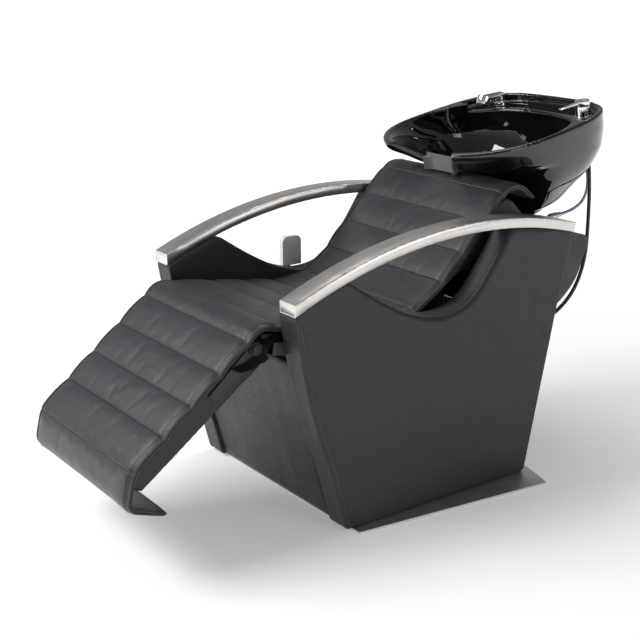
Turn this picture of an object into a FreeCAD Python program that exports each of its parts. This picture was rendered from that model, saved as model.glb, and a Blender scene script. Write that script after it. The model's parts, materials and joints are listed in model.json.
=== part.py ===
"""Shampoo backwash unit: reclined seat with leg rest, side panels and tilting basin.

Millimetres, +Z up, floor at Z = 0, foot end towards -Y, basin towards +Y.
"""
import FreeCAD, Part
import math
import os

V = FreeCAD.Vector

# Side panels and armrests
PANEL_INNER = 250.0
PANEL_OUTER = 316.0
PANEL_FOOT = (-310.0, 6.0)
PANEL_CREST = (-455.0, 560.0)
PANEL_HEEL = (284.0, 6.0)
PANEL_BACK = (374.0, 440.0)
PANEL_TAIL = (420.0, 637.0)
PANEL_SKIN = 10.0
CORE_WALL = 15.0
DIP_START = -306.0
DIP_END = 203.0
DIP_LOW = (-20.0, 487.0)
BAR_CENTRE = (85.0, -596.0)
BAR_RADIUS = 1278.0
BAR_THICK = 26.0
BAR_WALL = 2.5
BAR_INNER = 255.0
BAR_OUTER = 317.0
BAR_FRONT = -455.0
BAR_REAR = 417.0
CAP_X = 270.0
CAP_Y = -440.0
CAP_Z = 505.0

# Base plate
PLATE_THICK = 6.0
PLATE_FRONT = -290.0
PLATE_REAR = 278.0
PLATE_TIP = 345.0
PLATE_FRONT_HALF = 340.0
PLATE_REAR_HALF = 402.0
FLOOR_BOLT_X = 160.0
FLOOR_BOLT_FRONT = -190.0
FLOOR_BOLT_REAR = 150.0
FLOOR_BOLT_R = 5.5

# Seat and back pad, followed as a line with one bend and one rolled end
SEAT_SLOPE = math.radians(8.6)
BEND_CENTRE = (-121.0, 694.0)
BEND_R = 210.0
NOSE_CENTRE = (275.0, 699.0)
NOSE_R = 70.0
NOSE_END = math.radians(45.0)
NOSE_TAIL = 35.0
PAD_HALF = 240.0
PAD_THICK = 30.0
BOARD_THICK = 12.0
BOARD_HALF = 214.0

# Leg rest, drawn along its own slope from the hinge
HINGE = (-496.0, 474.0)
LEG_DROP = math.radians(38.8)
LEG_PAD_TOP = 51.0
LEG_TOE = 394.0
TOE_CORNER = (468.0, -12.0)
TOE_TIP = (405.0, -99.0)
LEG_BOX_HALF = 207.0
LEG_BOX_WALL = 12.0
CRANK = 60.0
PIN_R = 8.0
CRANK_PIN_R = 5.0
YOKE_NOTCH = 36.0

# Gas spring, on a level line under the seat
SPRING_Z = HINGE[1] - CRANK
BARREL_R = 11.0
ROD_R = 4.0
BARREL_FRONT = -400.0
BARREL_REAR = -140.0
BARREL_TAIL = -80.0

# Hand lever
LEVER_Y = -62.0
LEVER_Z = 426.0
LEVER_SHAFT_R = 6.0
GRIP_Y = -25.0
GRIP_LOW = 486.0
GRIP_TOP = 568.0

# Frame
TUBE = 30.0
TUBE_WALL = 2.5
MID_RAIL_Z = 402.0
SPRING_TUBE_Z = 370.0
FRONT_TUBE_Y = -375.0
REAR_TUBE_Y = -170.0
ARM_Z = 560.0
ARM_X = 60.0

# Basin: u runs from the front lip to the rear along the rim, w is square to the rim
BASIN_LIP = (135.0, 834.0)
BASIN_TILT = math.radians(11.0)
BASIN_LENGTH = 543.0
BASIN_HALF = 259.0
BASIN_DEPTH = 262.0
BASIN_WALL = 13.0
LIP_THICK = 18.0
# Front wall of the bowl: depth under the rim, distance behind the front edge
FRONT_OUTSIDE = [(0.0, 0.0), (LIP_THICK, 0.0), (44.0, 46.0), (66.0, 80.0), (80.0, 112.0), (91.0, 148.0),
                 (115.0, 176.0), (160.0, 204.0), (205.0, 228.0), (240.0, 244.0), (BASIN_DEPTH, 250.0)]
FRONT_INSIDE = [(-2.0, 12.0), (8.0, 30.0), (28.0, 62.0), (50.0, 95.0), (64.0, 124.0), (78.0, 162.0),
                (105.0, 190.0), (150.0, 217.0), (195.0, 240.0), (230.0, 255.0), (BASIN_DEPTH - BASIN_WALL, 262.0)]
FLOOR_REAR = 372.0
FLOOR_HALF = 104.0
CAVITY_REAR = 468.0
DECK_FRONT = 388.0
DECK_LEVEL = -24.0
DECK_THICK = 12.0
NOTCH_BACK = 103.0
NOTCH_BACK_HALF = 52.0
NOTCH_MOUTH_HALF = 168.0
GEL = 9.0
GEL_HALF = 58.0
GEL_LIP = 7.0
DRAIN_U = 304.0
DRAIN_R = 20.0
DRAIN_LENGTH = 40.0
BELLOWS_LENGTH = 30.0
PIVOT = (505.0, 617.0)
EAR_X = 82.0
FITTING_X = 158.0
FITTING_U = 472.0
INLET_GAP = 10.0

# Rear cover and rear panel
COVER_HALF = 246.0
COVER_FRONT = 352.0
COVER_TOP = 602.0
COVER_REAR = 552.0
COVER_WALL = 5.0
REAR_LOW = 384.0

# Plumbing
WASTE_R = 20.0
WASTE_OUT = (80.0, 200.0)
SUPPLY_R = 7.5
COLD_X = 190.0
HOT_X = 120.0
INLET_Z = 160.0
INLET_R = 10.0
INLET_END = 372.0
LEVER_REACH = 40.0
BLACK_R = 5.25
TAIL_R = 4.5


def yz(point, x=0.0):
    """A point given as (y, z) placed at x."""
    return V(x, point[0], point[1])


def box(x0, x1, y0, y1, z0, z1):
    return Part.makeBox(x1 - x0, y1 - y0, z1 - z0, V(x0, y0, z0))


def cylinder(start, end, radius):
    axis = end - start
    return Part.makeCylinder(radius, axis.Length, start, axis)


def pipe(start, end, outer, inner):
    return cylinder(start, end, outer).cut(cylinder(start, end, inner))


def cross_bar(point, radius, x0, x1):
    """A round bar across the unit at the (y, z) point."""
    return cylinder(yz(point, x0), yz(point, x1), radius)


def extrude_x(wire, x0, x1):
    face = Part.Face(wire)
    face.translate(V(x0, 0, 0))
    return face.extrude(V(x1 - x0, 0, 0))


def prism(points, x0, x1):
    """A polygon of (y, z) points carried from x0 to x1."""
    corners = [yz(p) for p in points]
    return extrude_x(Part.makePolygon(corners + corners[:1]), x0, x1)


def mirrored(shape):
    return shape.mirror(V(0, 0, 0), V(1, 0, 0))


def both_sides(shape):
    return Part.makeCompound([shape, mirrored(shape)])


def rounded(shape, radius, chosen):
    """Fillet of the edges that the test picks out."""
    edges = [e for e in shape.Edges if chosen(e)]
    return shape.makeFillet(radius, edges)


def is_along_x(edge):
    a, b = edge.Vertexes[0].Point, edge.Vertexes[-1].Point
    return abs(a.x - b.x) > 1.0 and abs(a.y - b.y) < 0.01 and abs(a.z - b.z) < 0.01


def on_plane_x(edge, x):
    bounds = edge.BoundBox
    return abs(bounds.XMin - x) < 0.01 and abs(bounds.XMax - x) < 0.01


def mitred(points, depth):
    """An open line of 2-D points shifted sideways, to the right of travel."""
    out = []
    for i, point in enumerate(points):
        before = points[max(i - 1, 0)]
        after = points[min(i + 1, len(points) - 1)]
        normals = []
        for a, b in ((before, point), (point, after)):
            length = math.hypot(b[0] - a[0], b[1] - a[1])
            if length > 0:
                normals.append(((b[1] - a[1]) / length, (a[0] - b[0]) / length))
        nx = sum(n[0] for n in normals) / len(normals)
        ny = sum(n[1] for n in normals) / len(normals)
        scale = depth / (nx * nx + ny * ny)
        out.append((point[0] + nx * scale, point[1] + ny * scale))
    return out


def save(name, shape):
    solids = shape.Solids
    if not shape.isValid():
        print("NOT VALID", name)
    shape.exportStep("parts/" + name + ".step")
    print(name, len(solids), "solids", round(shape.Volume / 1000.0, 1), "cm3")


# ---------------------------------------------------------------- side panels
def bar_height(y, radius=BAR_RADIUS):
    """Height of the armrest arc above the floor at y."""
    return BAR_CENTRE[1] + math.sqrt(radius ** 2 - (y - BAR_CENTRE[0]) ** 2)


def bar_point(y, radius=BAR_RADIUS):
    return (y, bar_height(y, radius))


def arc_edge(a, b, c):
    return Part.Arc(yz(a), yz(b), yz(c)).toShape()


def line_edge(a, b):
    return Part.LineSegment(yz(a), yz(b)).toShape()


def panel_wire(inset):
    """Outline of a side panel; inset shrinks it all round but not at the floor."""
    radius = BAR_RADIUS - inset

    def lowered(y, z):
        return yz((y, z - inset / 2))

    foot = (PANEL_FOOT[0] + inset, PANEL_FOOT[1])
    heel = (PANEL_HEEL[0] - inset, PANEL_HEEL[1])
    back = (PANEL_BACK[0] - inset, PANEL_BACK[1])
    crest = bar_point(PANEL_CREST[0] + inset, radius)
    tail = bar_point(PANEL_TAIL[0] - inset, radius)
    start = bar_point(DIP_START - inset, radius)
    end = bar_point(DIP_END + inset, radius)
    shin = Part.BSplineCurve()
    shin.interpolate([yz(foot), yz((-332 + inset, 92)), yz((-415 + inset, 355)), yz(crest)])
    scoop = Part.BSplineCurve()
    scoop.interpolate([yz(start), lowered(-201 - inset, 553), lowered(-118 - inset, 510),
                       yz((DIP_LOW[0], DIP_LOW[1] - inset)), lowered(62 + inset, 505),
                       yz((141 + inset, 588)), yz(end)])
    edges = [shin.toShape(),
             arc_edge(crest, bar_point((crest[0] + start[0]) / 2, radius), start),
             scoop.toShape(),
             arc_edge(end, bar_point((end[0] + tail[0]) / 2, radius), tail),
             line_edge(tail, back),
             line_edge(back, heel),
             line_edge(heel, foot)]
    return Part.Wire(Part.__sortEdges__(edges))


def screw_caps():
    """Small domed caps on the front strip of each panel, seated in the padding."""
    centre = V(CAP_X, CAP_Y, CAP_Z)
    out = V(0, -0.96, 0.28)
    cap = cylinder(centre, centre + out * 5.0, 6.5)
    return both_sides(cap)


def build_panels():
    outer = extrude_x(panel_wire(0.0), PANEL_INNER, PANEL_OUTER)
    outer = rounded(outer, 7.0, lambda e: on_plane_x(e, PANEL_OUTER) and e.BoundBox.ZMax > 20)
    core = extrude_x(panel_wire(PANEL_SKIN), PANEL_INNER, PANEL_OUTER - PANEL_SKIN)
    studs = []
    for y in (-400.0, -340.0, 260.0, 370.0):
        top = bar_height(y)
        studs.append(cylinder(V(285, y, top - 45), V(285, y, top + BAR_WALL), 4.0))
    studs = Part.makeCompound(studs)
    cover = outer.cut(core).cut(studs)
    cavity_wire = panel_wire(PANEL_SKIN + CORE_WALL)
    core = core.cut(extrude_x(cavity_wire, PANEL_INNER + CORE_WALL, PANEL_OUTER - PANEL_SKIN - CORE_WALL))
    core = core.cut(studs)
    shaft_hole = cross_bar((LEVER_Y, LEVER_Z), 9.0, -PANEL_OUTER - 5, -PANEL_INNER + 5)
    caps = screw_caps()
    core, cover = core.cut(caps), cover.cut(caps)
    save("panel_screw_caps", caps)
    save("panel_cores", Part.makeCompound([core, mirrored(core).cut(shaft_hole)]))
    save("panel_cover_left", cover)
    save("panel_cover_right", mirrored(cover).cut(shaft_hole))
    save("armrest_studs", both_sides(studs))
    return studs


def bar_section(grow, x0, x1, y0, y1):
    """The armrest arc: cut upright at the front, square to the arc at the rear."""
    low = BAR_RADIUS - grow
    high = BAR_RADIUS + BAR_THICK + grow

    def at(radius, angle):
        return (BAR_CENTRE[0] + radius * math.cos(angle), BAR_CENTRE[1] + radius * math.sin(angle))

    rear = math.atan2(bar_height(y1) - BAR_CENTRE[1], y1 - BAR_CENTRE[0])
    low_front = math.acos((y0 - BAR_CENTRE[0]) / low)
    high_front = math.acos((y0 - BAR_CENTRE[0]) / high)
    edges = [arc_edge(at(low, low_front), at(low, (low_front + rear) / 2), at(low, rear)),
             line_edge(at(low, rear), at(high, rear)),
             arc_edge(at(high, rear), at(high, (high_front + rear) / 2), at(high, high_front)),
             line_edge(at(high, high_front), at(low, low_front))]
    return extrude_x(Part.Wire(Part.__sortEdges__(edges)), x0, x1)


def build_armrests(studs):
    outer = bar_section(0.0, BAR_INNER, BAR_OUTER, BAR_FRONT, BAR_REAR)
    outer = outer.makeFillet(2.0, [e for e in outer.Edges if e.Length > 500])
    inner = bar_section(-BAR_WALL, BAR_INNER + BAR_WALL, BAR_OUTER - BAR_WALL, BAR_FRONT - 5, BAR_REAR + 5)
    bar = outer.cut(inner).cut(studs)
    plugs = inner.common(bar_section(0, BAR_INNER, BAR_OUTER, BAR_FRONT, BAR_FRONT + 12))
    plugs = plugs.fuse(inner.common(bar_section(0, BAR_INNER, BAR_OUTER, BAR_REAR - 12, BAR_REAR)))
    save("armrest_left", bar)
    save("armrest_right", mirrored(bar))
    save("armrest_end_caps", both_sides(plugs))


# ---------------------------------------------------------------- base and apron
def build_base():
    corners = [V(-PLATE_FRONT_HALF, PLATE_FRONT, 0), V(PLATE_FRONT_HALF, PLATE_FRONT, 0),
               V(PLATE_REAR_HALF, PLATE_REAR, 0), V(-PLATE_REAR_HALF, PLATE_REAR, 0)]
    edges = [Part.LineSegment(corners[0], corners[1]).toShape(),
             Part.LineSegment(corners[1], corners[2]).toShape(),
             Part.Arc(corners[2], V(0, PLATE_TIP, 0), corners[3]).toShape(),
             Part.LineSegment(corners[3], corners[0]).toShape()]
    plate = Part.Face(Part.Wire(edges)).extrude(V(0, 0, PLATE_THICK))
    plate = plate.makeFillet(6.0, [e for e in plate.Edges if abs(e.Length - PLATE_THICK) < 0.01])
    for x in (-FLOOR_BOLT_X, FLOOR_BOLT_X):
        for y in (FLOOR_BOLT_FRONT, FLOOR_BOLT_REAR):
            plate = plate.cut(cylinder(V(x, y, -1), V(x, y, PLATE_THICK + 1), FLOOR_BOLT_R))
    bolts = frame_bolts()
    save("base_plate", plate.cut(bolts))
    return bolts


def frame_bolts():
    """Countersunk screws that hold the side frames down on the plate, from below."""
    screws = []
    for y in (-230.0, -60.0, 180.0):
        shank = cylinder(V(235, y, 1.0), V(235, y, 16.0), 4.0)
        head = Part.makeCone(7.5, 4.0, 3.5, V(235, y, 0.5), V(0, 0, 1))
        screws.append(shank.fuse(head))
    return both_sides(Part.makeCompound(screws))


def build_apron():
    """Leather-covered board between the panels, with a slot for the gas spring rod."""
    lean = (PANEL_FOOT[0] + 10.0, PLATE_THICK)
    top = (-418.0, 430.0)
    slot = box(-YOKE_NOTCH, YOKE_NOTCH, -460, -370, SPRING_Z - YOKE_NOTCH, 460)
    line = [lean, top]
    skin = mitred(line, 6.0)
    rear = mitred(line, 22.0)
    cover = prism([lean, top, skin[1], skin[0]], -PANEL_INNER, PANEL_INNER)
    board = prism([skin[0], skin[1], rear[1], rear[0]], -PANEL_INNER, PANEL_INNER)
    floor = box(-300, 300, -600, 0, -50, PLATE_THICK)
    save("apron_cover", cover.cut(slot).cut(floor))
    save("apron_board", board.cut(slot).cut(floor))


# ---------------------------------------------------------------- seat and back
def back_angle():
    dy = NOSE_CENTRE[0] - BEND_CENTRE[0]
    dz = NOSE_CENTRE[1] - BEND_CENTRE[1]
    return math.asin((BEND_R + NOSE_R) / math.hypot(dy, dz)) + math.atan2(dz, dy)


def polar(centre, radius, angle):
    """Point at an angle turned from straight down."""
    return (centre[0] + radius * math.sin(angle), centre[1] - radius * math.cos(angle))


def seat_line(depth, start_y):
    """Points of the seat line at a depth under the pad's top face."""
    bend = BEND_R + depth
    nose = NOSE_R - depth
    back = back_angle()
    p1 = polar(BEND_CENTRE, bend, -SEAT_SLOPE)
    m1 = polar(BEND_CENTRE, bend, (back - SEAT_SLOPE) / 2)
    p2 = polar(BEND_CENTRE, bend, back)
    p0 = (start_y, p1[1] + (p1[0] - start_y) * math.tan(SEAT_SLOPE))
    p3 = polar(NOSE_CENTRE, nose, math.pi + back)
    m2 = polar(NOSE_CENTRE, nose, math.pi)
    p4 = polar(NOSE_CENTRE, nose, math.pi - NOSE_END)
    p5 = (p4[0] + NOSE_TAIL * math.cos(NOSE_END), p4[1] - NOSE_TAIL * math.sin(NOSE_END))
    return p0, p1, m1, p2, p3, m2, p4, p5


def build_pads():
    start = HINGE[0] + 0.5
    top = seat_line(0.0, start)
    low = seat_line(PAD_THICK, start)
    edges = []
    for line in (top, low):
        edges.append(line_edge(line[0], line[1]))
        edges.append(arc_edge(line[1], line[2], line[3]))
        edges.append(line_edge(line[3], line[4]))
        edges.append(arc_edge(line[4], line[5], line[6]))
        edges.append(line_edge(line[6], line[7]))
    edges.append(line_edge(top[0], low[0]))
    edges.append(line_edge(top[7], low[7]))
    pad = extrude_x(Part.Wire(Part.__sortEdges__(edges)), -PAD_HALF, PAD_HALF)
    save("seat_back_pad", pad)

    # Seat board: flat plywood from behind the hinge to the bend
    under = seat_line(PAD_THICK, -476.0)
    deep = seat_line(PAD_THICK + BOARD_THICK, -476.0)
    save("seat_board", prism([under[0], under[1], deep[1], deep[0]], -BOARD_HALF, BOARD_HALF))
    save("back_board", prism([under[3], under[4], deep[4], deep[3]], -BOARD_HALF, BOARD_HALF))

    # Box behind the backrest, open below
    foot = deep[3]
    heel = deep[4]
    inner_r = NOSE_R - PAD_THICK - BOARD_THICK
    roll = polar(NOSE_CENTRE, inner_r, math.pi)
    crown = polar(NOSE_CENTRE, inner_r, math.pi - NOSE_END)
    rear_top = (crown[0] + 34.0, crown[1] - 34.0)
    outline = [foot, heel, roll, crown, rear_top, (348.0, 600.0), (200.0, 600.0)]
    shell = prism(outline, -BOARD_HALF, BOARD_HALF)
    hollow = prism([(foot[0] + 24, foot[1] - 2), (heel[0] + 6, heel[1] - 15),
                    (roll[0], roll[1] - 14), (crown[0], crown[1] - 14),
                    (rear_top[0] - 9, rear_top[1] - 6), (336.0, 590.0), (200.0, 590.0)],
                   -BOARD_HALF + BOARD_THICK, BOARD_HALF - BOARD_THICK)
    save("back_box", shell.cut(hollow))


# ---------------------------------------------------------------- leg rest
def leg(s, n):
    """Leg rest point: s along the slope away from the hinge, n square to it."""
    c, k = math.cos(LEG_DROP), math.sin(LEG_DROP)
    return (HINGE[0] - s * c - n * k, HINGE[1] - s * k + n * c)


def leg_prism(points, x0, x1):
    return prism([leg(s, n) for s, n in points], x0, x1)


def build_leg_rest():
    line = [(0.5, LEG_PAD_TOP), (LEG_TOE, LEG_PAD_TOP), TOE_CORNER, TOE_TIP]
    inner = mitred(line, PAD_THICK)
    pad = leg_prism(line + inner[::-1], -PAD_HALF, PAD_HALF)
    toe = leg(*TOE_CORNER)
    knuckle = leg(LEG_TOE, LEG_PAD_TOP)

    def is_bend(edge):
        if not is_along_x(edge):
            return False
        p = edge.Vertexes[0].Point
        return min(math.hypot(p.y - q[0], p.z - q[1]) for q in (toe, knuckle)) < 0.01

    pad = rounded(pad, 18.0, is_bend)
    save("leg_pad", pad)

    top = LEG_PAD_TOP - PAD_THICK
    outer = [(14.0, top), (402.0, top), (418.0, 4.0), (402.0, -31.0), (14.0, -48.0)]
    wall = LEG_BOX_WALL
    hollow = [(14.0 + wall, top - wall), (398.0 - wall, top - wall), (404.0 - wall, 2.0),
              (396.0 - wall, -31.0 + wall), (14.0 + wall, -48.0 + wall)]
    shell = leg_prism(outer, -LEG_BOX_HALF, LEG_BOX_HALF)
    shell = shell.cut(leg_prism(hollow, -LEG_BOX_HALF + wall, LEG_BOX_HALF - wall))
    notch = leg_prism([(0.0, top - wall), (98.0, top - wall), (98.0, -70.0), (0.0, -70.0)],
                      -YOKE_NOTCH, YOKE_NOTCH)
    save("leg_box", shell.cut(notch).cut(pad))

    shaft = cross_bar(HINGE, PIN_R, -226.0, 226.0)
    save("leg_shaft", shaft)
    rings = cross_bar(HINGE, PIN_R + 4.0, 221.5, 225.0).cut(shaft)

    def plate(x0, x1):
        arm = leg_prism([(-4.0, 13.0), (150.0, 6.0), (150.0, -20.0), (-4.0, -13.0)], x0, x1)
        arm = arm.fuse(cross_bar(HINGE, 15.0, x0, x1))
        return arm.cut(cross_bar(HINGE, PIN_R, x0 - 1, x1 + 1))

    low = (HINGE[0], SPRING_Z)
    crank = prism([(HINGE[0] - 11, HINGE[1]), (HINGE[0] + 11, HINGE[1]),
                   (low[0] + 9, low[1]), (low[0] - 9, low[1])], 8.0, 13.0)
    crank = crank.fuse(cross_bar(HINGE, 14.0, 8.0, 13.0)).fuse(cross_bar(low, 9.0, 8.0, 13.0))
    crank = crank.cut(cross_bar(HINGE, PIN_R, 0.0, 20.0)).cut(cross_bar(low, CRANK_PIN_R, 0.0, 20.0))
    arms = Part.makeCompound([plate(LEG_BOX_HALF, LEG_BOX_HALF + 5.0), crank, rings])
    save("leg_arms", both_sides(arms))
    pin = cross_bar(low, CRANK_PIN_R, -16.0, 16.0)
    heads = both_sides(cross_bar(low, CRANK_PIN_R + 2.5, 13.0, 16.0))
    save("crank_pin", pin.fuse(heads))

    # Fixed hinge plates and their bushes
    web = prism([(HINGE[0] - 12, HINGE[1] + 8), (-440.0, HINGE[1] + 8), (-380.0, 462.0), (-380.0, 432.0),
                 (HINGE[0] + 10, HINGE[1] - 14)], 214.0, 220.0)
    web = web.fuse(cross_bar(HINGE, 16.0, 214.0, 220.0)).cut(cross_bar(HINGE, 11.0, 210.0, 225.0))
    save("hinge_plates", both_sides(web))
    bush = cross_bar(HINGE, 11.0, 214.0, 220.0).cut(cross_bar(HINGE, PIN_R + 0.2, 210.0, 225.0))
    return both_sides(bush)


# ---------------------------------------------------------------- gas spring and lever
def build_spring():
    front = V(0, BARREL_FRONT, SPRING_Z)
    rear = V(0, BARREL_REAR, SPRING_Z)
    tail = V(0, BARREL_TAIL, SPRING_Z)
    barrel = cylinder(front, rear, BARREL_R).fuse(cylinder(rear, tail, 6.0))
    barrel = barrel.cut(cylinder(front, V(0, -290.0, SPRING_Z), ROD_R + 0.3))
    barrel = barrel.cut(cylinder(V(0, -118.0, SPRING_Z), tail, 3.3))
    save("gas_barrel", barrel)

    rod = cylinder(V(0, -484.0, SPRING_Z), V(0, -340.0, SPRING_Z), ROD_R)
    yoke = box(-6.5, 6.5, -512.0, -480.0, SPRING_Z - 13, SPRING_Z + 28)
    slot_low = (HINGE[0], SPRING_Z)
    slot_top = (HINGE[0], SPRING_Z + 14.0)
    slot_half = CRANK_PIN_R + 1.6
    slot = cross_bar(slot_low, slot_half, -10, 10).fuse(cross_bar(slot_top, slot_half, -10, 10))
    slot = slot.fuse(box(-10, 10, HINGE[0] - slot_half, HINGE[0] + slot_half, slot_low[1], slot_top[1]))
    save("gas_rod", rod.fuse(yoke).cut(slot))

    plunger = cylinder(V(0, -112.0, SPRING_Z), V(0, -67.5, SPRING_Z), 3.0)
    save("release_plunger", plunger)

    clamps = []
    for y in (FRONT_TUBE_Y + TUBE / 2, REAR_TUBE_Y + TUBE / 2):
        block = box(-17, 17, y - 9, y + 9, SPRING_TUBE_Z + TUBE, SPRING_Z + 16)
        clamps.append(block.cut(cylinder(V(0, y - 20, SPRING_Z), V(0, y + 20, SPRING_Z), BARREL_R)))
    save("barrel_clamps", Part.makeCompound(clamps))

    shaft = cross_bar((LEVER_Y, LEVER_Z), LEVER_SHAFT_R, -328.0, 16.0)
    finger = box(-6, 6, LEVER_Y - 4, LEVER_Y + 4, LEVER_Z - 20, LEVER_Z)
    save("lever_shaft", shaft.fuse(finger))
    arm = prism([(LEVER_Y - 12, LEVER_Z), (LEVER_Y + 12, LEVER_Z), (GRIP_Y + 11, GRIP_LOW + 30),
                 (GRIP_Y - 11, GRIP_LOW + 30)], -328.0, -323.0)
    arm = arm.fuse(cross_bar((LEVER_Y, LEVER_Z), 13.0, -328.0, -323.0))
    arm = arm.cut(cross_bar((LEVER_Y, LEVER_Z), LEVER_SHAFT_R, -330.0, -320.0))
    save("lever_arm", arm)
    grip = box(-334.0, -318.0, GRIP_Y - 31, GRIP_Y + 31, GRIP_LOW, GRIP_TOP)
    grip = rounded(grip, 16.0, lambda e: is_along_x(e) and e.BoundBox.ZMin > GRIP_TOP - 5)
    finger_slot = box(-335.0, -331.0, GRIP_Y - 14, GRIP_Y + 14, GRIP_TOP - 22, GRIP_TOP - 14)
    save("lever_grip", grip.cut(arm).cut(finger_slot))
    bush = cross_bar((LEVER_Y, LEVER_Z), 9.0, -PANEL_OUTER - 1, -PANEL_INNER)
    return bush.cut(cross_bar((LEVER_Y, LEVER_Z), LEVER_SHAFT_R + 0.2, -400, 0))


# ---------------------------------------------------------------- frame
def bar_between(a, b, width, x0, x1):
    """A flat-sided bar in side view between two (y, z) points."""
    length = math.hypot(b[0] - a[0], b[1] - a[1])
    ny, nz = (b[1] - a[1]) / length * width / 2, -(b[0] - a[0]) / length * width / 2
    return prism([(a[0] + ny, a[1] + nz), (b[0] + ny, b[1] + nz),
                  (b[0] - ny, b[1] - nz), (a[0] - ny, a[1] - nz)], x0, x1)


def fused(shapes):
    whole = shapes[0]
    for item in shapes[1:]:
        whole = whole.fuse(item)
    return whole


def side_frame(width, x0, x1, foot_z):
    """The five bars of one side frame, fused; a smaller width gives its bore."""
    deep = seat_line(PAD_THICK + BOARD_THICK + TUBE / 2, -470.0)
    rail_front, rail_rear = deep[0], deep[1]
    upright_top = (rail_front[0] + 95.0, rail_front[1] - 12.0)
    runs = [(rail_front, rail_rear),
            ((-262.0, foot_z), upright_top),
            ((-268.0, 21.0), (240.0, 21.0)),
            ((230.0, foot_z), (322.0, ARM_Z + 15)),
            ((rail_rear[0] - 14, MID_RAIL_Z), (294.0, MID_RAIL_Z))]
    return fused([bar_between(a, b, width, x0, x1) for a, b in runs])


def build_frame(bolts):
    x0, x1 = PANEL_INNER - TUBE, PANEL_INNER
    wall = TUBE_WALL
    side = side_frame(TUBE, x0, x1, 8.0).cut(box(x0 - 1, x1 + 1, -600, 600, -20, PLATE_THICK))
    bore = side_frame(TUBE - 2 * wall, x0 + wall, x1 - wall, -20.0)
    side = side.cut(bore).cut(bolts)
    save("frame_left", side)
    save("frame_right", mirrored(side))

    members = []
    spots = ((FRONT_TUBE_Y, SPRING_TUBE_Z), (REAR_TUBE_Y, SPRING_TUBE_Z),
             (205.0, 60.0), (300.0, ARM_Z), (286.0, 425.0))
    for y, z in spots:
        outer = box(-x0, x0, y, y + TUBE, z, z + TUBE)
        bore = box(-x0 - 1, x0 + 1, y + wall, y + TUBE - wall, z + wall, z + TUBE - wall)
        members.append(outer.cut(bore))
    for sign in (-1, 1):
        a, b = sorted((sign * ARM_X, sign * (ARM_X + TUBE)))
        arm = box(a, b, 330.0, 535.0, ARM_Z, ARM_Z + TUBE)
        arm = arm.cut(box(a + wall, b - wall, 329.0, 536.0, ARM_Z + wall, ARM_Z + TUBE - wall))
        strut = bar_between((310.0, 440.0), (490.0, ARM_Z + 4), 24.0, a + 3, b - 3)
        strut = strut.cut(box(-400, 400, 200, 600, ARM_Z, ARM_Z + 60))
        strut = strut.cut(box(-400, 400, 200, 316, 300, 600))
        members += [arm, strut]
    save("cross_members", Part.makeCompound(members))

    base = box(-100, 100, 400.0, 535.0, ARM_Z + TUBE, ARM_Z + TUBE + 6)
    base = base.cut(box(-42, 42, 462.0, 536.0, ARM_Z, ARM_Z + 60))
    ears = base
    for x in (-EAR_X - 6, EAR_X):
        ear = prism([(PIVOT[0] - 34, ARM_Z + TUBE), (PIVOT[0] + 28, ARM_Z + TUBE),
                     (PIVOT[0] + 12, PIVOT[1] + 4), (PIVOT[0] - 12, PIVOT[1] + 4)], x, x + 6)
        ears = ears.fuse(ear).fuse(cross_bar(PIVOT, 12.0, x, x + 6))
    ears = ears.cut(cross_bar(PIVOT, 6.2, -120, 120))
    save("basin_bracket", ears)


# ---------------------------------------------------------------- basin
def rim(u, w, x=0.0):
    """Basin point in the unit's frame: u along the rim, w square to it."""
    c, s = math.cos(BASIN_TILT), math.sin(BASIN_TILT)
    return V(x, BASIN_LIP[0] + u * c - w * s, BASIN_LIP[1] + u * s + w * c)


def rim_box(x0, x1, u0, u1, w0, w1):
    """A box square to the rim."""
    shape = Part.makeBox(x1 - x0, u1 - u0, w1 - w0, V(x0, u0, w0))
    shape.rotate(V(0, 0, 0), V(1, 0, 0), math.degrees(BASIN_TILT))
    shape.translate(V(0, BASIN_LIP[0], BASIN_LIP[1]))
    return shape


def basin_ring(front, rear, half, w, front_power, rear_power, points=44):
    """Closed outline round the bowl at one level, with its own squareness at each end."""
    middle, reach = (front + rear) / 2, (rear - front) / 2
    loop = []
    for i in range(points):
        angle = 2 * math.pi * (i + 0.5) / points
        ca, sa = math.cos(angle), math.sin(angle)
        power = 2 / (front_power + (rear_power - front_power) * (sa + 1) / 2)
        u = middle + reach * math.copysign(abs(sa) ** power, sa)
        loop.append(rim(u, w, half * math.copysign(abs(ca) ** power, ca)))
    curve = Part.BSplineCurve()
    curve.interpolate(loop, PeriodicFlag=True)
    return Part.Wire([curve.toShape()])


def rear_edge(depth):
    return FLOOR_REAR + (BASIN_LENGTH - FLOOR_REAR) * (1 - (depth / BASIN_DEPTH) ** 2.6)


def half_width(depth):
    return FLOOR_HALF + (BASIN_HALF - FLOOR_HALF) * (1 - (depth / BASIN_DEPTH) ** 2.0)


def bowl_body(wall):
    """The outside of the bowl, pulled in by a wall thickness."""
    rings = []
    for depth, front in FRONT_OUTSIDE:
        level = -min(depth, BASIN_DEPTH - wall)
        rings.append(basin_ring(front + wall, rear_edge(depth) - wall,
                                half_width(depth) - wall, level, 2.3, 3.6))
    return Part.makeLoft(rings, True, False)


def cavity(grow):
    """The space inside the bowl, grown by a wall thickness."""
    rings = []
    floor = BASIN_DEPTH - BASIN_WALL
    rear_floor = FLOOR_REAR - BASIN_WALL - 12.0
    for depth, front in FRONT_INSIDE:
        sunk = max(depth, 0.0)
        rear = rear_floor + (CAVITY_REAR - rear_floor) * (1 - (sunk / floor) ** 2)
        half = half_width(sunk) - BASIN_WALL
        level = -depth - (grow if depth > 0 else 0.0)
        rings.append(basin_ring(front - grow, rear + grow, half + grow, level, 2.3, 2.2))
    return Part.makeLoft(rings, True, False)


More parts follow.
